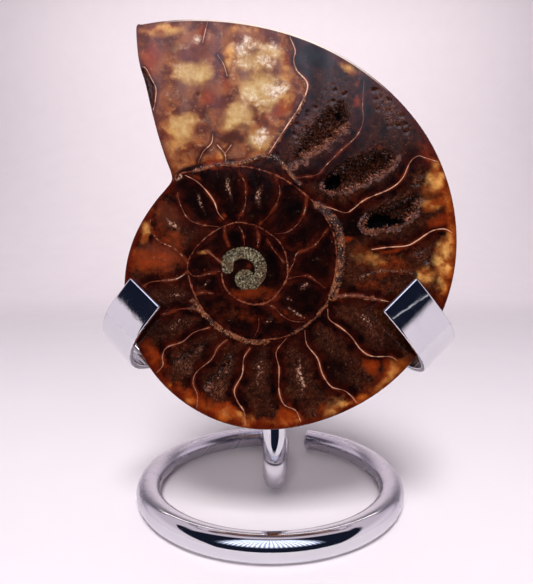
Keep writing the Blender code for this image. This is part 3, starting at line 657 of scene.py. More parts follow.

# Soft patches of colour in the stone, and patches of painted glint: right, up, half length, half width (mm),
# direction, strength
PATCHES = {
    "cream": (
        (-10.0, 36.1, 4.0, 2.4, -10, 0.9), (-11.7, 26.1, 2.6, 4.0, -15, 0.75),
        (1.8, 39.0, 3.7, 3.3, -30, 0.9), (3.1, 32.9, 4.8, 3.7, 10, 1.0), (-1.4, 28.0, 3.7, 2.6, 20, 0.9),
        (5.0, 40.9, 2.6, 1.8, -25, 0.7), (-14.5, 44.1, 4.0, 1.1, 8, 0.5), (2.4, 23.8, 2.2, 2.6, 60, 0.8),
        (-13.0, 40.9, 1.8, 1.5, 0, 0.5),
    ),
    "milk": (
        (2.4, 38.6, 6.0, 4.6, 0, 0.5), (2.0, 30.0, 6.5, 4.6, 20, 0.45), (-11.4, 36.6, 4.6, 4.0, 0, 0.3),
        (-12.2, 27.4, 3.2, 4.6, -15, 0.25), (-0.5, 41.0, 3.0, 2.6, 20, 0.8),
        (3.0, 38.8, 3.0, 2.2, -30, 0.9), (5.4, 33.4, 3.0, 2.0, 30, 1.0), (2.2, 31.0, 2.4, 1.6, 0, 0.7),
        (3.0, 24.4, 2.4, 1.8, 70, 0.9), (5.6, 42.2, 1.8, 1.4, 0, 0.8), (-9.0, 42.2, 3.4, 1.0, 30, 0.5),
        (-12.0, 41.0, 1.8, 1.2, 0, 0.5), (-7.8, 27.4, 1.2, 1.6, 0, 0.4),
    ),
    "rust": (
        (-10.2, 40.2, 5.0, 2.3, 8, 1.0), (-16.4, 41.0, 1.6, 5.0, -8, 0.8),
        (-16.6, 33.0, 1.6, 4.6, -8, 0.9), (-6.6, 33.6, 2.0, 2.6, 30, 0.9),
        (-4.6, 30.0, 1.8, 4.4, 20, 0.8), (-14.6, 21.0, 3.0, 2.4, -40, 0.7),
        (-2.4, 24.6, 3.0, 1.6, 0, 1.0), (-6.2, 41.6, 1.3, 3.4, 10, 0.9), (8.0, 36.8, 1.0, 5.0, 4, 0.6),
        (-15.4, 29.6, 1.4, 3.4, -20, 0.6), (-15.8, 2.2, 5.0, 3.0, 0, 0.9),
        (-14.6, 9.6, 3.2, 3.6, -30, 0.6),
    ),
    "honey": (
        (-16.0, 44.7, 4.4, 1.6, 8, 0.9), (-12.8, 23.8, 4.0, 4.8, -15, 0.7),
        (-3.8, 39.0, 1.5, 3.7, -15, 0.9), (7.4, 38.6, 1.5, 5.5, 0, 0.8), (6.5, 30.4, 2.9, 2.2, 40, 0.8),
        (-17.7, 25.7, 1.5, 5.5, -15, 0.7), (0.9, 45.1, 5.5, 1.1, -10, 0.7),
        (19.5, 37.1, 2.9, 1.5, -40, 0.8), (35.4, 16.3, 2.2, 4.4, -20, 0.95),
        (34.8, 12.0, 3.3, 1.5, 15, 0.9), (36.3, 1.1, 1.8, 5.5, -5, 1.0), (33.0, -1.3, 2.2, 2.2, 0, 0.9),
        (25.4, -20.7, 3.7, 1.6, 38, 0.9), (16.3, -25.4, 3.3, 1.6, 25, 0.8),
        (23.0, 2.0, 4.2, 2.0, -10, 0.6), (-18.2, 6.6, 1.1, 2.6, -15, 1.0),
        (-1.2, -27.2, 4.4, 1.3, -12, 0.8), (3.7, -27.8, 1.8, 1.1, 0, 0.75), (-7.2, 3.1, 1.3, 0.5, 0, 0.8),
        (-12.1, -23.4, 4.0, 0.9, -45, 0.5), (27.3, -17.7, 1.3, 1.6, 0, 0.5),
        (-4.2, 21.2, 1.1, 1.3, 0, 1.0), (0.1, 20.1, 4.4, 0.9, 8, 0.6), (8.2, -27.6, 1.6, 1.3, 0, 0.5),
    ),
    "ember": (
        (0.7, 0.2, 1.4, 0.8, 0, 0.5), (26.0, 0.5, 6.5, 3.0, 0, 0.55), (-18.0, 38.4, 2.0, 5.0, -8, 1.0),
        (-7.1, 31.4, 2.4, 1.3, 40, 0.9), (-7.8, 44.1, 0.9, 2.6, 0, 0.9), (-3.6, 35.5, 1.1, 2.9, -5, 0.7),
        (6.1, 28.9, 2.9, 1.1, 35, 0.8), (-5.8, 19.7, 2.6, 1.6, 10, 0.8), (-4.3, 9.6, 0.9, 0.7, 0, 1.0),
        (-16.5, 1.1, 5.5, 2.9, 0, 0.8), (-13.8, 5.2, 4.8, 2.6, -30, 0.55),
        (-16.9, -15.9, 1.5, 3.3, 40, 0.8), (-9.9, -23.6, 5.5, 1.6, -35, 0.6),
        (-3.6, -26.1, 4.8, 1.5, -15, 1.0), (7.8, -26.7, 2.0, 2.2, 0, 1.0),
        (22.7, -17.9, 1.6, 1.5, 0, 0.9), (26.4, -17.5, 2.6, 1.5, 30, 0.8),
        (20.8, 30.8, 0.7, 2.2, -10, 0.7), (25.3, 21.0, 2.2, 3.3, 30, 0.5),
        (-9.3, 16.7, 2.6, 0.9, -25, 0.7), (1.8, -4.4, 5.5, 1.8, 0, 0.6), (28.1, 3.7, 4.8, 0.5, 0, 0.7),
        (19.3, 5.2, 1.5, 0.7, 0, 0.8), (-0.9, -8.6, 6.6, 2.6, -20, 0.4), (8.2, -9.2, 4.0, 1.8, 10, 0.4),
        (33.3, 21.9, 2.9, 1.6, -55, 0.5), (35.9, 8.5, 3.3, 1.5, 0, 0.6), (23.8, -3.1, 5.5, 1.3, 0, 0.45),
        (17.4, -5.5, 1.8, 1.1, 0, 0.5), (10.1, 3.3, 2.6, 1.5, 20, 0.3), (-7.3, -4.0, 1.8, 1.8, 0, 0.4),
        (19.7, 16.3, 1.8, 0.9, 30, 0.3),
    ),
    "druse": (
        (12.6, 25.6, 6.6, 3.6, 48, 0.85), (20.6, 18.6, 7.6, 3.4, 28, 0.6),
        (28.4, 11.6, 6.0, 3.4, 25, 0.6), (-13.7, 40.5, 3.7, 2.2, 0, 0.4), (-9.2, 32.5, 1.6, 1.1, 40, 0.6),
        (17.3, 32.3, 4.0, 3.7, -60, 0.6), (27.3, 29.5, 6.2, 2.9, -55, 0.95),
        (31.9, 15.9, 1.6, 1.8, 0, 0.8), (32.8, 2.2, 2.2, 2.6, -40, 0.8), (29.1, -16.4, 1.8, 1.5, 0, 0.5),
        (11.8, -26.1, 2.2, 1.6, 0, 0.6), (-5.4, -22.2, 2.2, 3.7, -10, 0.9),
        (-11.2, -17.7, 2.6, 2.6, 0, 0.8), (-15.7, 12.6, 2.2, 1.8, 0, 0.5), (4.6, 20.1, 3.3, 1.5, 25, 0.5),
        (3.1, -19.5, 1.8, 4.8, 0, 0.45), (10.0, -20.0, 2.6, 5.5, -10, 0.5),
        (23.7, -12.2, 4.8, 1.5, -38, 0.6), (-11.8, -14.1, 4.0, 1.8, 30, 0.5),
        (18.2, -15.9, 2.6, 4.4, 30, 0.25),
    ),
    # Painted glints: pale wisps of reflected light inside the dark chambers
    "painted_glint": (
        (-12.8, 16.7, 1.3, 1.0, 20, 1.0), (-8.5, 12.0, 2.6, 0.5, -62, 0.9),
        (-3.0, 14.8, 2.6, 0.6, -80, 1.0), (2.7, 13.3, 2.4, 0.8, 80, 0.9),
        (-13.8, 8.1, 2.2, 0.6, -55, 0.9), (-16.0, 1.3, 3.0, 0.5, -5, 0.7),
        (-7.1, -2.8, 1.3, 0.4, 10, 0.7), (4.2, -9.5, 0.9, 0.5, 60, 0.9), (-2.4, -9.2, 2.4, 0.8, 50, 0.4),
        (8.2, -6.2, 1.2, 0.4, -35, 0.8), (11.2, -3.7, 1.1, 0.6, 0, 0.9), (9.3, -8.4, 2.0, 0.4, -15, 0.9),
        (22.1, -10.2, 4.4, 0.7, -45, 0.8), (9.8, -19.7, 3.4, 0.8, -80, 1.0),
        (2.8, -19.1, 3.6, 0.8, -88, 0.8), (-12.7, -10.4, 2.2, 0.5, 15, 0.7),
        (13.4, 1.1, 1.2, 0.4, 0, 0.5), (9.4, 13.2, 1.6, 0.4, 70, 0.3), (16.0, 5.2, 1.4, 0.4, 60, 0.4),
        (-12.4, -5.0, 1.8, 0.6, 10, 0.7), (17.0, -15.0, 3.2, 0.6, -62, 0.35),
        (30.0, 5.2, 2.8, 0.5, 5, 0.5),
    ),
    "night": (
        (13.0, 39.4, 3.1, 2.2, -40, 0.9), (20.2, 7.9, 3.3, 4.0, 0, 0.9), (-8.3, 12.6, 2.6, 3.3, -30, 0.6),
        (10.1, 10.7, 3.3, 2.2, 0, 0.9), (-1.8, 5.2, 3.7, 1.6, 0, 0.9), (5.5, 2.4, 1.8, 3.3, 0, 0.8),
        (14.7, 7.0, 1.5, 5.5, 0, 0.6), (16.4, -18.6, 2.6, 4.4, 20, 0.6), (13.8, 19.1, 3.7, 1.8, 40, 0.5),
        (-2.6, 24.0, 4.0, 1.6, 0, 1.0), (-7.6, 27.6, 1.4, 3.6, 20, 0.7), (25.9, 26.1, 1.5, 2.6, -20, 0.6),
        (-7.3, -15.0, 2.9, 1.8, 40, 0.6), (1.8, -15.9, 2.2, 2.9, 0, 0.5), (35.3, -5.1, 1.8, 1.8, 0, 0.6),
        (29.1, -16.4, 2.2, 1.8, 0, 0.6), (10.0, -15.0, 3.7, 2.9, 0, 0.35),
        (-13.0, 15.4, 1.5, 1.1, 0, 0.6), (-2.4, 12.6, 2.2, 3.7, 0, 0.35), (11.9, -2.2, 1.8, 1.8, 0, 0.5),
        (3.7, 14.4, 1.8, 2.6, 0, 0.3),
    ),
}
PATCH_DRIFT = 1.1
PATCH_DRIFT_SIZE = 3.1

# How close the points of the mesh lie, and how worn its edges are (mm)
FACE_SPACING = 0.36
HOLLOW_SPACING = 0.24
LINE_SPACING = 0.33
APERTURE_SPACING = 0.4
BACK_SPACING = 0.55
BACK_CLEARANCE = 0.3
BACK_ROUNDING = 0.9
RIM_CLEARANCE = 0.16
EDGE_EASE = 0.12
SAME_POINT = 1e-7
FOSSIL_SHARP_ANGLE = math.radians(42)
CALCITE_IOR = 1.49
TAPER_END = 0.3
TAPER_POWER = 0.7
SEPTUM_SHARE = 0.85


def curve_between(a, b, c, d, t):
    """The smooth curve through four values in a row, at a share of the way from the second to the third."""
    return b + 0.5 * t * (c - a + t * (2 * a - 5 * b + 4 * c - d + t * (3 * (b - c) + d - a)))


def whorl_radius(growth):
    """Radius in mm of the whorl's outer line at a growth angle, smooth through the given radii."""
    place = (growth - GROWTH_START) / GROWTH_STEP
    last = len(WHORL_RADII) - 1
    first = max(0, min(last - 1, math.floor(place)))
    four = (math.log(WHORL_RADII[max(0, min(last, first + k))]) for k in (-1, 0, 1, 2))
    return math.exp(curve_between(*four, place - first))


def polar(radius, degrees):
    return (math.cos(math.radians(degrees)) * radius, math.sin(math.radians(degrees)) * radius)


def face_outline():
    """The cut face's edge, anticlockwise: round the rim from the notch to the tip, back down the aperture."""
    steps = round((RIM_END - RIM_START) / RIM_STEP)
    growths = [RIM_START + (RIM_END - RIM_START) * i / steps for i in range(steps + 1)]
    rim = [polar(whorl_radius(growth), growth) for growth in growths]
    sawn_end = [polar(radius, degrees) for radius, degrees in APERTURE_EDGE]
    aperture = smooth_line([rim[-1]] + sawn_end + [rim[0]], APERTURE_SPACING)
    return np.array(rim + [tuple(point) for point in aperture[1:-1]])


def smooth_line(points, spacing):
    """Points along the smooth curve through the given ones, about `spacing` apart."""
    given = np.array(points, float)
    padded = np.vstack([2 * given[0] - given[1], given, 2 * given[-1] - given[-2]])
    rows = []
    for a, b, c, d in zip(padded[:-3], padded[1:-2], padded[2:-1], padded[3:]):
        steps = max(1, round(np.linalg.norm(c - b) / spacing))
        rows += [curve_between(a, b, c, d, k / steps) for k in range(steps)]
    rows.append(given[-1])
    return np.array(rows)


def closed_line(points, spacing):
    """The same for a closed outline."""
    turned = list(points[-2:]) + list(points) + list(points[:2])
    line = smooth_line(turned, spacing)
    start = np.argmin(np.linalg.norm(line - np.array(points[0]), axis=1))
    sides = zip(turned[2:-2], turned[3:-1])
    around = sum(max(1, round(math.dist(a, b) / spacing)) for a, b in sides)
    return line[start:start + around]


def looped(line):
    """A closed outline with its first point again at its end."""
    return np.vstack([line, line[:1]])


def inside(points, loop):
    """Which points lie inside a closed loop."""
    found = np.zeros(len(points), bool)
    for (ax, ay), (bx, by) in zip(loop, np.roll(loop, -1, axis=0)):
        if ay != by:
            crosses = (ay > points[:, 1]) != (by > points[:, 1])
            found ^= crosses & (points[:, 0] < ax + (bx - ax) * (points[:, 1] - ay) / (by - ay))
    return found


def distance_to_line(points, line, half_width=0.0):
    """Distance from points to a run of short segments, or to its edge if it has a width, thin at its ends."""
    best = np.full(len(points), np.inf)
    for i, (start, end) in enumerate(zip(line[:-1], line[1:])):
        side = end - start
        share = np.clip((points - start) @ side / (side @ side), 0, 1)
        fullness = math.sin(math.pi * (i + 0.5) / (len(line) - 1)) ** TAPER_POWER
        reach = half_width * (TAPER_END + (1 - TAPER_END) * fullness)
        best = np.minimum(best, np.linalg.norm(points - start - share[:, None] * side, axis=1) - reach)
    return best


def step_between(values, low, high):
    share = np.clip((values - low) / (high - low), 0, 1)
    return share * share * (3 - 2 * share)


def noise_at(points, size, seed):
    """Noise between -1 and 1 with lumps of a size in mm, at each point of the face."""
    return np.array([noise.noise((x / size, y / size, seed)) for x, y in points])


def staggered_grid(low, high, spacing):
    """Points of a honeycomb over a rectangle."""
    rows = []
    row_step = spacing * math.sqrt(3) / 2
    for k in range(int((high[1] - low[1]) / row_step) + 1):
        xs = np.arange(low[0] + (k % 2) * spacing / 2, high[0], spacing)
        rows.append(np.column_stack([xs, np.full(len(xs), low[1] + k * row_step)]))
    return np.vstack(rows)


def aperture_direction(radius):
    """Direction in which the last whorl ends, at a distance from the coil's centre."""
    rows = APERTURE_EDGE + APERTURE_INWARD
    if radius >= rows[0][0]:
        return rows[0][1]
    for (far, far_degrees), (near, near_degrees) in zip(rows[:-1], rows[1:]):
        if radius >= near:
            return near_degrees + (far_degrees - near_degrees) * (radius - near) / (far - near)
    return rows[-1][1]


def whorl_profile(across):
    """Height over a whorl's width, as a share of its greatest: 1 at the flank's crest, less at the navel."""
    if across >= 1:
        return 0.0
    if across >= FLANK_CREST:
        return math.sqrt(1 - ((across - FLANK_CREST) / (1 - FLANK_CREST)) ** 2)
    if across >= UMBILICAL_SHOULDER:
        fall = (FLANK_CREST - across) / (FLANK_CREST - UMBILICAL_SHOULDER)
        return 1 - (1 - SHOULDER_HEIGHT) * fall**2
    if across > UMBILICAL_SEAM:
        fall = (UMBILICAL_SHOULDER - across) / (UMBILICAL_SHOULDER - UMBILICAL_SEAM)
        return SHOULDER_HEIGHT * math.sqrt(1 - fall**2)
    return 0.0


def back_at(point):
    """Thickness of the half at a point, and the growth angle and place across of the whorl seen there."""
    radius = math.hypot(*point)
    if radius < CORE_RADIUS:
        return CORE_THICKNESS, 0.0, 0.0
    direction = math.degrees(math.atan2(point[1], point[0])) % 360
    last = aperture_direction(radius) + 360
    found = (CORE_THICKNESS, direction, 0.0)
    growth = direction + 360 if direction + 360 <= last else direction
    while growth > GROWTH_START:
        whorl = whorl_radius(growth)
        across = radius / whorl
        share = whorl_profile(across)
        if share > 0:
            end_distance = math.radians(last - growth) * radius
            sway = RIB_SWAY * math.sin(math.pi * (across - RIB_START) / (1 - RIB_START))
            rib = RIB_HEIGHT * share * math.cos(math.radians(RIBS_PER_WHORL * (growth + sway)))
            ramp = max(0.0, min(1.0, APERTURE_LIP + end_distance / APERTURE_WALL))
            height = (HALF_WIDTH_RATIO * whorl * share + rib) * ramp * ramp * (3 - 2 * ramp)
            if height > found[0]:
                found = (height, growth, across)
        growth -= 360
    return found


def triangulate(points, edges, outline):
    """Triangles within the outline that keep the given edges; returns places, triangles and who is who."""
    found = delaunay_2d_cdt([Vector(point) for point in points], edges, [], 0, SAME_POINT)
    places = np.array([place[:] for place in found[0]])
    triangles = np.array(found[2])
    whose = {}
    for index, origins in enumerate(found[3]):
        for origin in origins:
            whose[origin] = index
    kept = triangles[inside(places[triangles].mean(axis=1), outline)]
    return places, kept, whose


def patch_field(points, kind):
    """How much of one colour the stone has at each point."""
    drift = np.column_stack([noise_at(points, PATCH_DRIFT_SIZE, seed) for seed in (2.5, 9.5)])
    drifted = points + PATCH_DRIFT * drift
    field = np.zeros(len(points))
    for right, up, half_length, half_width, degrees, strength in PATCHES[kind]:
        turn = math.radians(degrees)
        x = (drifted[:, 0] - right) * math.cos(turn) + (drifted[:, 1] - up) * math.sin(turn)
        y = (drifted[:, 1] - up) * math.cos(turn) - (drifted[:, 0] - right) * math.sin(turn)
        reach = np.sqrt((x / half_length) ** 2 + (y / half_width) ** 2)
        field = np.maximum(field, strength * (1 - step_between(reach, 0.1, 1.6)))
    return field


outline = face_outline()
septum_lines = [smooth_line(points, LINE_SPACING) for points, _, _ in SEPTA]
wall_line = smooth_line(WHORL_WALL, LINE_SPACING)
seam_lines = [smooth_line(points, LINE_SPACING) for points, _ in GOLDEN_SEAMS]
hollow_loops = {}
for name, (points, _, _) in HOLLOWS.items():
    loop = closed_line(points, LINE_SPACING)
    jitter = np.column_stack([noise_at(loop, HOLLOW_RAGGED_SIZE, seed) for seed in (4.0, 7.0)])
    hollow_loops[name] = loop + HOLLOW_RAGGED * jitter

# The cut face's points: its edge, an eased inner edge, the septa, the hollows' rims, a honeycomb between
normals = np.roll(outline, 1, axis=0) - np.roll(outline, -1, axis=0)
normals = np.column_stack([-normals[:, 1], normals[:, 0]])
inner_edge = outline - EDGE_EASE * normals / np.linalg.norm(normals, axis=1)[:, None]
points = list(outline) + list(inner_edge)
count = len(outline)
edges = [(i, (i + 1) % count) for i in range(count)]
edges += [(count + i, count + (i + 1) % count) for i in range(count)]
edge_loop = looped(outline)
for line in septum_lines + [wall_line]:
    clear = inside(line, outline) & (distance_to_line(line, edge_loop) > 2.2 * EDGE_EASE)
    start = len(points)
    kept = line[clear]
    points += list(kept)
    for i, (a, b) in enumerate(zip(kept[:-1], kept[1:])):
        if np.linalg.norm(b - a) < 3 * LINE_SPACING:
            edges.append((start + i, start + i + 1))
for loop in hollow_loops.values():
    start = len(points)
    points += list(loop)
    edges += [(start + i, start + (i + 1) % len(loop)) for i in range(len(loop))]
low, high = outline.min(axis=0), outline.max(axis=0)
filling = staggered_grid(low, high, FACE_SPACING)
fine = staggered_grid(low, high, HOLLOW_SPACING)
in_hollow = np.any([inside(fine, loop) for loop in hollow_loops.values()], axis=0)
over_hollow = np.any([inside(filling, loop) for loop in hollow_loops.values()], axis=0)
filling = np.vstack([filling[~over_hollow], fine[in_hollow]])
filling = filling[inside(filling, outline)]
filling = filling[distance_to_line(filling, edge_loop) > RIM_CLEARANCE + EDGE_EASE]
for line in septum_lines + [wall_line] + [looped(loop) for loop in hollow_loops.values()]:
    filling = filling[distance_to_line(filling, line) > LINE_SPACING / 3]
points += list(filling)
front, front_triangles, front_whose = triangulate(points, edges, outline)

# How deep the face lies under its plane: nothing where it is polished, sloping walls in the hollows
open_share = np.zeros(len(front))
depth = np.zeros(len(front))
for name, (_, hollow_depth, wall_width) in HOLLOWS.items():
    loop = hollow_loops[name]
    distance = np.where(inside(front, loop), distance_to_line(front, looped(loop)), 0.0)
    open_share = np.maximum(open_share, step_between(distance, *HOLLOW_EDGE))
    slope = step_between(distance, -0.2 * wall_width, wall_width) * (distance > 0.01)
    depth = np.maximum(depth, hollow_depth * slope)
hole_shade = np.zeros(len(front))
for points, extra in BLACK_HOLES:
    loop = closed_line(points, LINE_SPACING)
    distance = np.where(inside(front, loop), distance_to_line(front, looped(loop)), 0.0)
    hole_shade = np.maximum(hole_shade, step_between(distance, 0.0, 0.6))
    depth += extra * step_between(distance, 0.0, 0.9)
chip_loop = closed_line(CHIP, LINE_SPACING)
chip_distance = distance_to_line(front, looped(chip_loop))
chip = np.where(inside(front, chip_loop), step_between(chip_distance, 0.0, 0.35), 0.0)
depth = np.maximum(depth, CHIP_DEPTH * chip)
grains = sum(share * noise_at(front, size, seed) for share, size, seed in GRAIN_SIZES)
depth = np.maximum(0.0, depth + HOLLOW_GRAIN * grains * open_share)
druse = patch_field(front, "druse")
pits = step_between(noise_at(front, PIT_SIZE, 12.0), 0.28, 0.55) * step_between(druse, 0.3, 0.6)
edge_distance = distance_to_line(front, edge_loop)
pits *= (1 - open_share) * (edge_distance > 1.0)
depth += PIT_DEPTH * pits
count = len(outline)
for i in range(count):
    depth[front_whose[i]] = EDGE_EASE
    depth[front_whose[count + i]] = 0.0

# What the stone shows at each point: the nearest septum, the wall, the golden seams, the chambers' lining
nearest_septum = np.full(len(front), np.inf)
paleness = np.zeros(len(front))
for line, (_, half_width, pale) in zip(septum_lines, SEPTA):
    distance = distance_to_line(front, line, SEPTUM_SHARE * half_width)
    paleness = np.where(distance < nearest_septum, pale, paleness)
    nearest_septum = np.minimum(nearest_septum, distance)
wall_distance = distance_to_line(front, wall_line)
seam = np.zeros(len(front))
for line, (_, half_width) in zip(seam_lines, GOLDEN_SEAMS):
    seam = np.maximum(seam, 1 - step_between(distance_to_line(front, line) / half_width, 0.55, 1.25))
core_distance = distance_to_line(front, smooth_line(CORE_C, LINE_SPACING)) / CORE_C_HALF_WIDTH
disc_distance = np.linalg.norm(front - np.array(CORE_DISC), axis=1) / CORE_DISC_RADIUS
core = 1 - step_between(np.minimum(core_distance, disc_distance), 0.8, 1.15)
lining = np.minimum(np.minimum(nearest_septum, wall_distance), edge_distance * RIM_LINING)

growth = np.full(len(front), RIM_END)
radius = np.linalg.norm(front, axis=1)
direction = np.degrees(np.arctan2(front[:, 1], front[:, 0]))
for i in range(len(front)):
    turn = direction[i] + 360
    if turn > RIM_END:
        turn -= 360
    while turn > GROWTH_START and radius[i] <= whorl_radius(turn - 360):
        turn -= 360
    growth[i] = turn
inner = 1 - step_between(growth, INNER_WHORLS_END, INNER_WHORLS_END + 4.0)
pale_loop = closed_line(PALE_CHAMBERS, LINE_SPACING)
pale_distance = distance_to_line(front, looped(pale_loop))
pale_stone = np.where(inside(front, pale_loop), step_between(pale_distance, 0.0, 0.6), 0.0)
around = np.where(direction > 105, direction - 360, direction)
glow_there = np.interp(around, *zip(*RIM_GLOW))
glow_reach = GLOW_REACH * (1 + GLOW_UNEVEN * noise_at(front, GLOW_UNEVEN_SIZE, 21.0))
glow = glow_there * (1 - step_between(edge_distance / glow_reach, 0.15, 1.3)) * (growth > INNER_WHORLS_END)
# Painted light: how much of the paler, pinker lit colour each point on the hollows' lower edges takes
lit_lower_edge = np.zeros(len(front))
for points, half_width in LIT_LOWER_EDGES:
    distance = distance_to_line(front, smooth_line(points, LINE_SPACING)) / half_width
    ragged = distance + LIT_LOWER_EDGE_RAGGED * noise_at(front, LIT_LOWER_EDGE_RAGGED_SIZE, 31.0)
    lit_lower_edge = np.maximum(lit_lower_edge, 1 - step_between(ragged, 0.3, 1.3))

# Painted highlight: how strongly the bright line along the top of the rim's edge shows at each point
edge_highlight = np.interp(direction, *zip(*EDGE_HIGHLIGHT_DIRECTIONS), left=0, right=0) * step_between(growth, *EDGE_HIGHLIGHT_GROWTH)

face_values = {
    "edge_highlight": edge_highlight,
    "septum": nearest_septum, "paleness": paleness, "wall": wall_distance, "seam": seam, "core": core,
    "lining": lining, "rim": edge_distance, "open": open_share, "hole_shade": hole_shade, "pit_shade": pits, "chip": chip,
    "inner": inner, "pale_stone": pale_stone, "glow": glow, "lit_lower_edge": lit_lower_edge, "druse": druse,
}
for kind in ("cream", "milk", "honey", "rust", "ember", "painted_glint", "night"):
    face_values[kind] = patch_field(front, kind)

# The natural back: whorls, ribs and navel, falling to a thin land at the rim
filling = staggered_grid(low, high, BACK_SPACING)
filling = filling[inside(filling, outline)]
filling = filling[distance_to_line(filling, edge_loop) > BACK_CLEARANCE]
back_points = list(outline) + list(filling)
back, back_triangles, back_whose = triangulate(back_points, edges[:count], outline)
thickness, back_growth, across = np.array([back_at(point) for point in back]).T
rounding = np.sqrt(1 - (1 - np.clip(distance_to_line(back, edge_loop) / BACK_ROUNDING, 0, 1)) ** 2)
back_depth = RIM_LAND + (np.maximum(thickness, RIM_LAND) - RIM_LAND) * rounding

# Sutures on the back: one each 15 degrees of growth, with broad lobes and fine frills across the whorl
suture = back_growth / 15.0 + 0.34 * np.sin(15.0 * across) + 0.13 * np.sin(47.0 * across + 1.0)

axes = np.array([FACE_RIGHT, FACE_UP, FACE_OUT])
origin = np.array(COIL_CENTRE)


def places_in_space(flat, depths):
    return origin + (np.column_stack([flat, -depths]) @ axes) * MM


vertices = np.vstack([places_in_space(front, depth), places_in_space(back, back_depth)])
shift = len(front)
faces = [tuple(triangle) for triangle in front_triangles]
face_count = len(faces)
faces += [tuple(shift + index for index in triangle[::-1]) for triangle in back_triangles]
for i in range(count):
    j = (i + 1) % count
    faces.append((front_whose[i], shift + back_whose[i], shift + back_whose[j], front_whose[j]))
mesh = bpy.data.meshes.new("polished_fossil")
mesh.from_pydata(vertices.tolist(), [], faces)
mesh.shade_smooth()
mesh.set_sharp_from_angle(angle=FOSSIL_SHARP_ANGLE)
padded = {name: np.concatenate([values, np.zeros(len(back))]) for name, values in face_values.items()}
padded["suture"] = np.concatenate([np.zeros(len(front)), suture])
for name, values in padded.items():
    mesh.attributes.new(name, "FLOAT", "POINT").data.foreach_set("value", values)

# Grains: the sugary crystals of the druse, the golden seam and the core
grainy, asked, given = new_group(
    "grains",
    [("Place", "NodeSocketVector", None), ("Fineness", "NodeSocketFloat", 2.5)],
    [("Shade", "NodeSocketFloat"), ("Gap", "NodeSocketFloat"), ("Height", "NodeSocketFloat")],
)
jitter = add_node(grainy, "ShaderNodeTexNoise", {"Vector": asked["Place"], "Scale": 2.2, "Detail": 1.0})
moved = add_node(
    grainy, "ShaderNodeVectorMath", {0: jitter.outputs["Color"], "Scale": 0.25}, operation="SCALE"
).outputs[0]
wandering = add_node(
    grainy, "ShaderNodeVectorMath", {0: asked["Place"], 1: moved}, operation="ADD"
).outputs[0]
cells = add_node(grainy, "ShaderNodeTexVoronoi", {"Vector": wandering, "Scale": asked["Fineness"]})
shade = add_node(grainy, "ShaderNodeSeparateColor", {0: cells.outputs["Color"]}).outputs[0]
grainy.links.new(shade, given["Shade"])
grainy.links.new(fade(grainy, cells.outputs["Distance"], 0.45, 0.95), given["Gap"])
grainy.links.new(fade(grainy, cells.outputs["Distance"], 0.0, 0.8, 1.0, 0.0), given["Height"])


def painted(tree, name):
    """A value that the mesh carries at its points."""
    return add_node(tree, "ShaderNodeAttribute", attribute_name=name).outputs["Fac"]


def stirred(tree, value, texture, reach):
    """A value moved up and down by a texture around its middle."""
    return calculate(tree, "ADD", value, product(tree, calculate(tree, "SUBTRACT", texture, 0.5), reach))


def shown(tree, name, low, high, *stirs):
    """How strongly a painted value shows, once textures have stirred it."""
    value = painted(tree, name)
    for texture, reach in stirs:
        value = stirred(tree, value, texture, reach)
    return fade(tree, value, low, high)


def stained(tree, stone, *stains):
    """The stone with stains laid over it in turn: where each shows, its colour and its strength."""
    for value, tone, strength in stains:
        stone = blend(tree, calculate(tree, "MULTIPLY", value, strength, clamp=True), stone, tone)
    return stone


def deepened(tree, tone, gamma, brightness):
    """Colours as they look through a polished surface: deeper and warmer in the dark parts."""
    deep = add_node(tree, "ShaderNodeGamma", {"Color": tone, "Gamma": gamma}).outputs[0]
    return add_node(tree, "ShaderNodeHueSaturation", {"Color": deep, "Value": brightness}).outputs[0]


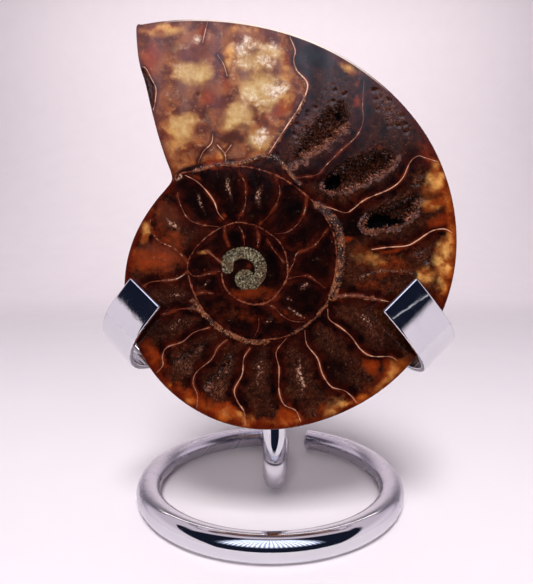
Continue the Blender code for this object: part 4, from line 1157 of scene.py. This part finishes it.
def section_finish():
    """Polished calcite: near-black chambers, glowing rims, pale last chambers, druse and thin septa."""
    material, tree, shader, place = new_finish("polished_section")
    broad = cloud(tree, place, 5.0, 4.0, 0.6, 0.2)
    soft = cloud(tree, place, 2.6, 3.0, 0.5, 0.3)
    middle = cloud(tree, place, 1.9, 6.0, 0.66, 0.2)
    small = cloud(tree, place, 0.75, 5.0, 0.7, 0.1)
    speck = cloud(tree, place, 0.28, 2.0, 0.7)
    grain = place_group(tree, grainy, {"Place": place, "Fineness": 2.4})
    sugar = place_group(tree, grainy, {"Place": place, "Fineness": 4.5})
    inner = painted(tree, "inner")
    opened = painted(tree, "open")

    def range_of(value, low, high, first, second):
        """A colour that goes from the first to the second as a value rises between two limits."""
        return blend(tree, fade(tree, value, low, high), colour(*first), colour(*second))

    # The chambers: near black, with a dusty haze in the middle of the outer ones, glowing towards the rim
    fill = shown(tree, "lining", 0.7, 2.3, (middle, 1.8))
    outer_fill = product(tree, fill, fade(tree, inner, 1.0, 0.0, 0.15, 0.8))
    dusty = product(tree, fade(tree, speck, 0.6, 0.72), outer_fill)
    warmer = shown(tree, "glow", 0.45, 1.3, (soft, 2.4))
    stone = stained(
        tree, range_of(middle, 0.35, 0.68, (22, 8, 6), (70, 26, 15)),
        (fade(tree, broad, 0.5, 0.7), colour(92, 40, 24), 0.4),
        (outer_fill, range_of(small, 0.3, 0.7, (38, 19, 12), (92, 58, 42)), 0.75),
        (product(tree, shown(tree, "lining", 0.5, 1.6), inner), colour(20, 8, 6), 0.72),
        (dusty, colour(150, 112, 90), 0.6),
        (shown(tree, "night", 0.15, 0.85, (middle, 0.9)), colour(17, 6, 5), 0.9),
        (shown(tree, "glow", 0.15, 1.0, (middle, 1.5)),
         blend(tree, warmer, colour(108, 40, 18), colour(194, 112, 50)), 0.9),
    )

    # The last two chambers, marbled, and the soft patches of rust, ember, honey, cream and milk
    marble = stained(
        tree, range_of(soft, 0.36, 0.62, (104, 54, 34), (156, 100, 62)),
        (fade(tree, broad, 0.48, 0.66), colour(140, 98, 80), 0.7),
        (fade(tree, small, 0.54, 0.74), colour(222, 200, 172), 0.4),
    )
    amber = stained(
        tree, range_of(soft, 0.35, 0.65, (156, 80, 36), (234, 186, 118)),
        (fade(tree, small, 0.5, 0.66), colour(126, 62, 32), 0.4),
    )
    shaded = product(tree, painted(tree, "night"), painted(tree, "pale_stone"))
    shaded = stirred(tree, stirred(tree, shaded, middle, 1.1), small, 0.9)
    stone = stained(
        tree, stone,
        (painted(tree, "pale_stone"), marble, 1.0),
        (shown(tree, "rust", 0.15, 0.95, (middle, 0.7)),
         blend(tree, soft, colour(88, 36, 24), colour(142, 82, 62)), 0.8),
        (shown(tree, "ember", 0.2, 0.95, (middle, 0.9)),
         blend(tree, small, colour(108, 38, 18), colour(188, 92, 38)), 0.75),
        (shown(tree, "honey", 0.2, 1.0, (middle, 1.2)), amber, 0.8),
        (shown(tree, "cream", 0.1, 0.85, (soft, 0.8)),
         blend(tree, soft, colour(170, 122, 72), colour(214, 182, 120)), 0.85),
        (shown(tree, "cream", 0.4, 1.3, (soft, 1.2), (small, 0.7)),
         blend(tree, small, colour(190, 158, 110), colour(226, 211, 172)), 0.8),
        (shown(tree, "milk", 0.3, 1.1, (soft, 1.3), (small, 0.9)),
         range_of(small, 0.35, 0.65, (172, 130, 104), (244, 233, 222)), 0.8),
        (fade(tree, shaded, 0.3, 1.0), colour(76, 38, 24), 0.8),
    )

    # Druse, painted glints in the dark chambers, the shade beside each septum, the rim, and its painted
    # highlight
    druse_cover = shown(tree, "druse", 0.3, 0.9, (small, 1.1))
    crystal = range_of(sugar["Shade"], 0.2, 0.9, (60, 31, 23), (138, 94, 74))
    near_septum = painted(tree, "septum")
    shade_line = product(tree, fade(tree, near_septum, 0.85, 0.05), shown(tree, "glow", 0.5, 0.0))
    # Painted highlight: a bright line along the top of the rim's edge, standing in for the light from above
    rim_highlight = product(tree, shown(tree, "rim", 0.46, 0.3), painted(tree, "edge_highlight"))
    stone = stained(
        tree, stone,
        (druse_cover, stained(tree, crystal, (sugar["Gap"], colour(34, 17, 13), 0.8)), 0.65),
        # Painted glints: a mauve haze with pale cores of reflected light inside the dark chambers
        (shown(tree, "painted_glint", 0.05, 0.9, (middle, 0.8)), colour(84, 52, 44), 0.5),
        (shown(tree, "painted_glint", 0.75, 1.2, (small, 1.6), (speck, 2.4)), colour(212, 174, 154), 0.75),
        (shade_line, colour(46, 15, 10), 0.7),
        (shown(tree, "rim", 1.3, 0.1, (soft, 1.6)), colour(92, 32, 18), 0.7),
        (rim_highlight, colour(255, 246, 236), 0.9),
    )

    # The golden seam, the whorl's wall and the septa
    golden = stained(
        tree, range_of(small, 0.36, 0.66, (66, 30, 18), (142, 90, 58)),
        (fade(tree, grain["Shade"], 0.55, 0.9), colour(168, 120, 84), 0.45),
        (fade(tree, middle, 0.54, 0.44), colour(38, 17, 11), 0.85),
        (fade(tree, speck, 0.6, 0.7), colour(236, 196, 158), 0.85),
    )
    wall_tone = stained(
        tree, range_of(middle, 0.4, 0.6, (80, 38, 28), (150, 94, 72)),
        (fade(tree, speck, 0.6, 0.7), colour(228, 186, 156), 0.7),
    )
    septum = stained(
        tree, range_of(painted(tree, "paleness"), 0.4, 1.15, (100, 48, 36), (234, 188, 164)),
        (fade(tree, small, 0.5, 0.66), colour(255, 236, 216), 0.55),
        (fade(tree, soft, 0.53, 0.4), colour(118, 58, 38), 0.7),
    )
    lit_side = product(tree, fade(tree, near_septum, 0.55, 0.05), fade(tree, soft, 0.42, 0.62))
    stone = stained(
        tree, stone,
        (shown(tree, "seam", 0.3, 0.8, (small, 2.6)), golden, 0.95),
        (shown(tree, "wall", 0.17, 0.04, (small, 0.9)), wall_tone, 0.9),
        (lit_side, colour(136, 64, 32), 0.5),
        (shown(tree, "septum", 0.045, -0.03, (middle, 0.14)), septum, 0.95),
    )

    # The pyrite in the core, and the hollows: their beds, painted light on their lower edges, and painted
    # shade in their black holes and pits
    pyrite = stained(
        tree, range_of(sugar["Shade"], 0.1, 0.9, (62, 54, 43), (140, 130, 108)),
        (fade(tree, speck, 0.58, 0.68), colour(222, 218, 200), 0.7),
        (fade(tree, speck, 0.48, 0.38), colour(36, 27, 20), 0.9),
        (fade(tree, middle, 0.5, 0.38), colour(92, 62, 44), 0.6),
    )
    # Painted light: the hollows' lower edges, which face up to the light, drawn pinker and paler
    lit_lower_edge_shown = shown(tree, "lit_lower_edge", 0.35, 1.0, (small, 1.8))
    lit_lower_edge_tone = range_of(grain["Shade"], 0.1, 0.9, (88, 50, 39), (158, 112, 94))
    stone = stained(
        tree, stone,
        (shown(tree, "core", 0.4, 0.6, (small, 0.5)), pyrite, 1.0),
        (opened, range_of(grain["Shade"], 0.2, 0.9, (42, 21, 14), (106, 65, 47)), 1.0),
        (lit_lower_edge_shown, stained(tree, lit_lower_edge_tone, (grain["Gap"], colour(54, 30, 26), 0.7)), 0.72),
        # Painted shade: the floors of the deep holes drawn near black
        (painted(tree, "hole_shade"), colour(10, 6, 6), 1.0),
        (painted(tree, "chip"), blend(tree, small, colour(44, 26, 22), colour(96, 62, 52)), 1.0),
        # Painted shade: the small pits in the druse drawn dark
        (painted(tree, "pit_shade"), colour(34, 17, 13), 0.7),
    )
    tree.links.new(deepened(tree, stone, 1.28, 0.84), shader.inputs["Base Color"])

    marked = place_group(tree, handling, {"Place": place, "Gloss": 0.08, "Smear": 0.12})
    rough_share = calculate(tree, "MAXIMUM", opened, product(tree, druse_cover, 0.25))
    roughness = calculate(tree, "ADD", marked["Roughness"], product(tree, rough_share, 0.4))
    tree.links.new(roughness, shader.inputs["Roughness"])
    rough_area = calculate(tree, "MAXIMUM", lit_lower_edge_shown, product(tree, painted(tree, "seam"), 0.5))
    rough_area = calculate(tree, "MAXIMUM", opened, rough_area)
    relief = product(tree, calculate(tree, "ADD", grain["Height"], sugar["Height"]), rough_area)
    bump = add_node(tree, "ShaderNodeBump", {"Height": relief, "Strength": 0.6, "Distance": 0.15 * MM})
    tree.links.new(bump.outputs[0], shader.inputs["Normal"])
    shader.inputs["IOR"].default_value = CALCITE_IOR
    return material


def shell_finish():
    """The shell's outside: tan and brown calcite, polished by handling, with frilled suture lines."""
    material, tree, shader, place = new_finish("shell_outside")
    broad = cloud(tree, place, 7.0, 5.0, 0.55, 0.6)
    veins = cloud(tree, place, 1.4, 6.0, 0.6, 1.2)
    shell = blend(tree, fade(tree, broad, 0.38, 0.62), colour(118, 62, 34), colour(186, 136, 88))
    shell = blend(tree, fade(tree, veins, 0.5, 0.75, 0.0, 0.6), shell, colour(214, 180, 140))
    blots = fade(tree, cloud(tree, place, 4.0, 3.0), 0.62, 0.75, 0.0, 0.7)
    shell = blend(tree, blots, shell, colour(72, 30, 20))
    phase = calculate(tree, "FRACT", stirred(tree, painted(tree, "suture"), veins, 0.35))
    near = calculate(tree, "ABSOLUTE", calculate(tree, "SUBTRACT", phase, 0.5))
    shell = blend(tree, fade(tree, near, 0.06, 0.02, 0.0, 0.8), shell, colour(52, 22, 14))
    tree.links.new(shell, shader.inputs["Base Color"])
    marked = place_group(tree, handling, {"Place": place, "Gloss": 0.22, "Smear": 0.2})
    tree.links.new(marked["Roughness"], shader.inputs["Roughness"])
    bump = add_node(tree, "ShaderNodeBump", {"Height": veins, "Strength": 0.25, "Distance": 0.2 * MM})
    tree.links.new(bump.outputs[0], shader.inputs["Normal"])
    shader.inputs["IOR"].default_value = CALCITE_IOR
    return material


mesh.materials.append(section_finish())
mesh.materials.append(shell_finish())
slots = np.ones(len(mesh.polygons), np.int32)
slots[:face_count] = 0
mesh.polygons.foreach_set("material_index", slots)
polished_fossil = placed("polished_fossil", mesh)
keep_in_box(mesh)
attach(polished_fossil, "root")
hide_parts("ammonite_half")

# The crystals in the open hollows: blunt six-sided calcite points, a fraction of a millimetre long. They
# grew out of the hollows' walls and floors, leaning every way; on the lower edges they take painted light.
CRYSTAL_SPACING = 0.3 * MM
CRYSTAL_SMALLEST = 0.2 * MM
CRYSTAL_LARGEST = 0.62 * MM
CRYSTAL_TILT = 0.9
CRYSTAL_SEED = 7

rough_bed = (open_share[front_triangles].min(axis=1) > 0.3) & (hole_shade[front_triangles].max(axis=1) < 0.6)
bed_triangles = front_triangles[rough_bed]
bed_mesh = bpy.data.meshes.new("crystal_bed")
bed_mesh.from_pydata(places_in_space(front, depth).tolist(), [], [tuple(row) for row in bed_triangles])
bed_mesh.attributes.new("lit_lower_edge", "FLOAT", "POINT").data.foreach_set("value", lit_lower_edge)
crystal_bed = placed("crystal_bed", bed_mesh)

crystal_growth, asked, given = new_group(
    "crystal_growth",
    [("Bed", "NodeSocketGeometry", None), ("Spacing", "NodeSocketFloat", CRYSTAL_SPACING),
     ("Smallest", "NodeSocketFloat", CRYSTAL_SMALLEST), ("Largest", "NodeSocketFloat", CRYSTAL_LARGEST),
     ("Tilt", "NodeSocketFloat", CRYSTAL_TILT), ("Seed", "NodeSocketInt", CRYSTAL_SEED),
     ("Finish", "NodeSocketMaterial", None)],
    [("Crystals", "NodeSocketGeometry")],
    "GeometryNodeTree",
)
sown = add_node(
    crystal_growth, "GeometryNodeDistributePointsOnFaces",
    {"Mesh": asked["Bed"], "Distance Min": asked["Spacing"], "Density Max": 4e7, "Seed": asked["Seed"]},
    distribute_method="POISSON",
)
point_shape = add_node(
    crystal_growth, "GeometryNodeMeshCone",
    {"Vertices": 6, "Radius Top": 0.18, "Radius Bottom": 0.5, "Depth": 1.1}, fill_type="TRIANGLE_FAN",
).outputs["Mesh"]
lean = add_node(crystal_growth, "FunctionNodeRandomValue", {"Seed": asked["Seed"]}, data_type="FLOAT_VECTOR")
lean.inputs[0].default_value = (-1, -1, -1)
lean.inputs[1].default_value = (1, 1, 1)
leaning = add_node(
    crystal_growth, "ShaderNodeVectorMath", {0: lean.outputs[0], "Scale": asked["Tilt"]}, operation="SCALE"
).outputs[0]
heading = add_node(
    crystal_growth, "ShaderNodeVectorMath", {0: leaning, 1: sown.outputs["Normal"]}, operation="ADD"
).outputs[0]
aligned = add_node(
    crystal_growth, "FunctionNodeAlignRotationToVector", {"Vector": heading}, axis="Z"
).outputs[0]
size = add_node(crystal_growth, "FunctionNodeRandomValue", {"Seed": asked["Seed"]}, data_type="FLOAT")
crystal_growth.links.new(asked["Smallest"], size.inputs[2])
crystal_growth.links.new(asked["Largest"], size.inputs[3])
planted = add_node(
    crystal_growth, "GeometryNodeInstanceOnPoints",
    {"Points": sown.outputs["Points"], "Instance": point_shape, "Rotation": aligned,
     "Scale": size.outputs[1]},
).outputs[0]
crystal_growth.links.new(made_real(crystal_growth, planted, asked["Finish"]), given["Crystals"])


def crystal_finish():
    """Small calcite points, brown to pink."""
    material, tree, shader, place = new_finish("calcite_points")
    grain = place_group(tree, grainy, {"Place": place, "Fineness": 2.2})
    dark = blend(tree, grain["Shade"], colour(42, 20, 13), colour(96, 58, 42))
    pink = blend(tree, grain["Shade"], colour(90, 51, 39), colour(160, 113, 95))
    # Painted light: crystals on the hollows' lower edges are drawn pinker and paler, as lit from above
    patchy = stirred(tree, painted(tree, "lit_lower_edge"), cloud(tree, place, 1.0, 3.0), 1.4)
    body = blend(tree, fade(tree, patchy, 0.25, 0.95), dark, pink)
    tree.links.new(deepened(tree, body, 1.25, 0.9), shader.inputs["Base Color"])
    marked = place_group(tree, handling, {"Place": place, "Gloss": 0.16, "Smear": 0.3})
    tree.links.new(marked["Roughness"], shader.inputs["Roughness"])
    return material


hollow_crystals = made_by_nodes("hollow_crystals", crystal_bed, crystal_growth, {
    "Spacing": CRYSTAL_SPACING, "Smallest": CRYSTAL_SMALLEST, "Largest": CRYSTAL_LARGEST,
    "Tilt": CRYSTAL_TILT, "Seed": CRYSTAL_SEED, "Finish": crystal_finish(),
})
keep_in_box(hollow_crystals.data)
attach(hollow_crystals, "root")

# The studio: a pale sweep of paper under soft lights, and a dim room in front that the chrome mirrors.
# The lights at the front stay out of the mirror; those for the sweep hang over its far end.
SWEEP_HALF_WIDTH = 2.5
SWEEP_FRONT = -0.052
SWEEP_TURN = 0.7
SWEEP_RADIUS = 0.7
SWEEP_TOP = 2.2
SWEEP_STEPS = 32

profile = [(SWEEP_FRONT, 0.0)]
for i in range(SWEEP_STEPS + 1):
    angle = math.pi / 2 * i / SWEEP_STEPS
    profile.append((SWEEP_TURN + SWEEP_RADIUS * math.sin(angle), SWEEP_RADIUS * (1 - math.cos(angle))))
profile.append((SWEEP_TURN + SWEEP_RADIUS, SWEEP_TOP))
corners = [(side * SWEEP_HALF_WIDTH, y, z) for y, z in profile for side in (-1, 1)]
panels = [(2 * i, 2 * i + 1, 2 * i + 3, 2 * i + 2) for i in range(len(profile) - 1)]
mesh = bpy.data.meshes.new("paper_sweep")
mesh.from_pydata(corners, [], panels)
mesh.shade_smooth()
paper, tree, shader, place = new_finish("pale_paper")
tone = blend(tree, cloud(tree, place, 40.0, 3.0), colour(227, 220, 227), colour(232, 226, 232))
tree.links.new(tone, shader.inputs["Base Color"])
shader.inputs["Roughness"].default_value = 0.75
fibre_inputs = {"Height": cloud(tree, place, 0.6, 4.0), "Strength": 0.05, "Distance": 0.1 * MM}
fibre = add_node(tree, "ShaderNodeBump", fibre_inputs)
tree.links.new(fibre.outputs[0], shader.inputs["Normal"])
mesh.materials.append(paper)
paper_sweep = placed("paper_sweep", mesh)


def soft_light(name, place, target, width, depth, power, tint):
    """A flat lamp at a place, turned to a target; its size in metres, its power in watts."""
    lamp = bpy.data.lights.new(name, "AREA")
    lamp.shape = "RECTANGLE"
    lamp.size, lamp.size_y = width, depth
    lamp.energy = power
    lamp.color = tint
    obj = placed(name, lamp)
    obj.location = place
    obj.rotation_euler = (Vector(target) - Vector(place)).to_track_quat("-Z", "Y").to_euler()
    return obj


LIGHTS = {
    "overhead_softbox": ((0.03, 0.05, 0.75), (0.0, 0.0, 0.03), 0.6, 0.4, 0.15, (1.0, 0.97, 0.97)),
    "backdrop_light": ((0.0, 0.72, 0.95), (0.0, 1.4, 0.3), 1.8, 0.3, 9.2, (1.0, 0.905, 0.88)),
    "horizon_light": ((0.0, 0.55, 0.6), (0.0, 1.15, 0.08), 1.6, 0.2, 0.8, (1.0, 0.92, 0.9)),
    "high_key": ((-0.015, -0.38, 0.58), (0.0, 0.0, 0.04), 0.22, 0.22, 5.0, (1.0, 0.97, 0.96)),
    "front_fill": ((-0.05, -0.62, 0.19), (0.0, 0.0, 0.05), 0.3, 0.3, 2.6, (1.0, 0.97, 0.95)),
}
lamps = {name: soft_light(name, *facts) for name, facts in LIGHTS.items()}
for name in ("overhead_softbox", "high_key", "front_fill"):
    lamps[name].visible_glossy = False

# The dim part of the room reaches this far to the right and left of the camera's back, and widens upwards
DIM_RIGHT = math.radians(56.5)
DIM_LEFT = math.radians(44)
DIM_WIDENING = math.radians(50)
DIM_LEFT_WIDENING = math.radians(32)
DIM_LEFT_WIDENS_FROM = 0.1
DIM_WIDEST = math.radians(95)
DIM_COLOUR = (0.011, 0.014, 0.030, 1.0)
PALE_LOW = (1.1, 0.98, 1.08, 1.0)
PALE_HIGH = (0.85, 0.73, 0.83, 1.0)
ROOM_SEEN = (0.80, 0.73, 0.75, 1.0)
ROOM_MIRRORED = 0.85
ROOM_SHINES = 0.1

world = bpy.data.worlds.new("studio")
bpy.context.scene.world = world
world.use_nodes = True
tree = world.node_tree
gaze = add_node(tree, "ShaderNodeTexCoord").outputs["Generated"]
right, back_away, up = add_node(tree, "ShaderNodeSeparateXYZ", {0: gaze}).outputs
forward = calculate(tree, "MULTIPLY", back_away, -1.0)
azimuth = calculate(tree, "ARCTAN2", right, forward)
rise = product(tree, up, DIM_WIDENING)
above = calculate(tree, "MAXIMUM", calculate(tree, "SUBTRACT", up, DIM_LEFT_WIDENS_FROM), 0.0)
right_limit = calculate(tree, "MINIMUM", calculate(tree, "ADD", rise, DIM_RIGHT), DIM_WIDEST)
left_reach = calculate(tree, "ADD", rise, product(tree, above, DIM_LEFT_WIDENING))
left_limit = calculate(tree, "MINIMUM", calculate(tree, "ADD", left_reach, DIM_LEFT), DIM_WIDEST)
past_right = calculate(tree, "SUBTRACT", azimuth, right_limit)
past_left = calculate(tree, "ADD", azimuth, left_limit)
right_side = fade(tree, past_right, math.radians(2.5), math.radians(-3.5))
left_side = fade(tree, past_left, math.radians(-1), math.radians(1))
ahead = calculate(tree, "MAXIMUM", fade(tree, forward, 0.04, 0.12), fade(tree, up, 0.8, 0.7))
dim = product(tree, product(tree, right_side, left_side), ahead)
room = blend(tree, dim, blend(tree, fade(tree, up, 0.25, 0.5), PALE_LOW, PALE_HIGH), DIM_COLOUR)

# A far window with blinds, high behind the camera, and the thin lit edge of a table to the right
SLATS = 95.0
WINDOW_COLOUR = (2.4, 2.6, 3.4, 1.0)
TABLE_EDGE_DROP = 0.038
TABLE_EDGE_COLOUR = (0.7, 0.7, 0.76, 1.0)

slats = fade(tree, calculate(tree, "SINE", product(tree, azimuth, SLATS)), -0.3, 0.6, 0.3, 1.0)
wide = fade(tree, calculate(tree, "ABSOLUTE", azimuth), math.radians(46), math.radians(34))
tall = product(tree, fade(tree, up, 0.34, 0.62), fade(tree, forward, 0.14, 0.28))
room = blend(tree, product(tree, slats, product(tree, wide, tall)), room, WINDOW_COLOUR)
off_edge = calculate(tree, "ABSOLUTE", calculate(tree, "ADD", up, TABLE_EDGE_DROP))
lit_edge = product(tree, fade(tree, off_edge, 0.007, 0.0025), fade(tree, azimuth, 0.6, 0.68))
room = blend(tree, product(tree, lit_edge, dim), room, TABLE_EDGE_COLOUR)
path = add_node(tree, "ShaderNodeLightPath").outputs
backdrop = tree.nodes["Background"].inputs
tree.links.new(blend(tree, path["Is Camera Ray"], room, ROOM_SEEN), backdrop["Color"])
strength = fade(tree, path["Is Diffuse Ray"], 0.0, 1.0, ROOM_MIRRORED, ROOM_SHINES)
tree.links.new(strength, backdrop["Strength"])
bpy.context.scene.view_settings.view_transform = "Standard"

# The camera: close in front of the stand, a little above its middle, tipped down slightly. Its place is
# given from the ring's centre, and its lens by the width of the picture and the focal length in pixels.
CAMERA_PLACE = Vector((-0.77, -103.9, 49.2)) * MM
CAMERA_TIP = math.radians(2.6)
IMAGE_WIDTH = 533
FOCAL_PIXELS = 470
SENSOR_WIDTH = 36.0

camera_data = bpy.data.cameras.new("camera")
camera_data.sensor_fit = "HORIZONTAL"
camera_data.sensor_width = SENSOR_WIDTH
camera_data.lens = FOCAL_PIXELS * SENSOR_WIDTH / IMAGE_WIDTH
camera_data.clip_start = 0.005
camera = placed("camera", camera_data)
camera.location = ring_centre + CAMERA_PLACE
camera.rotation_euler = (math.pi / 2 - CAMERA_TIP, 0, 0)
bpy.context.scene.camera = camera
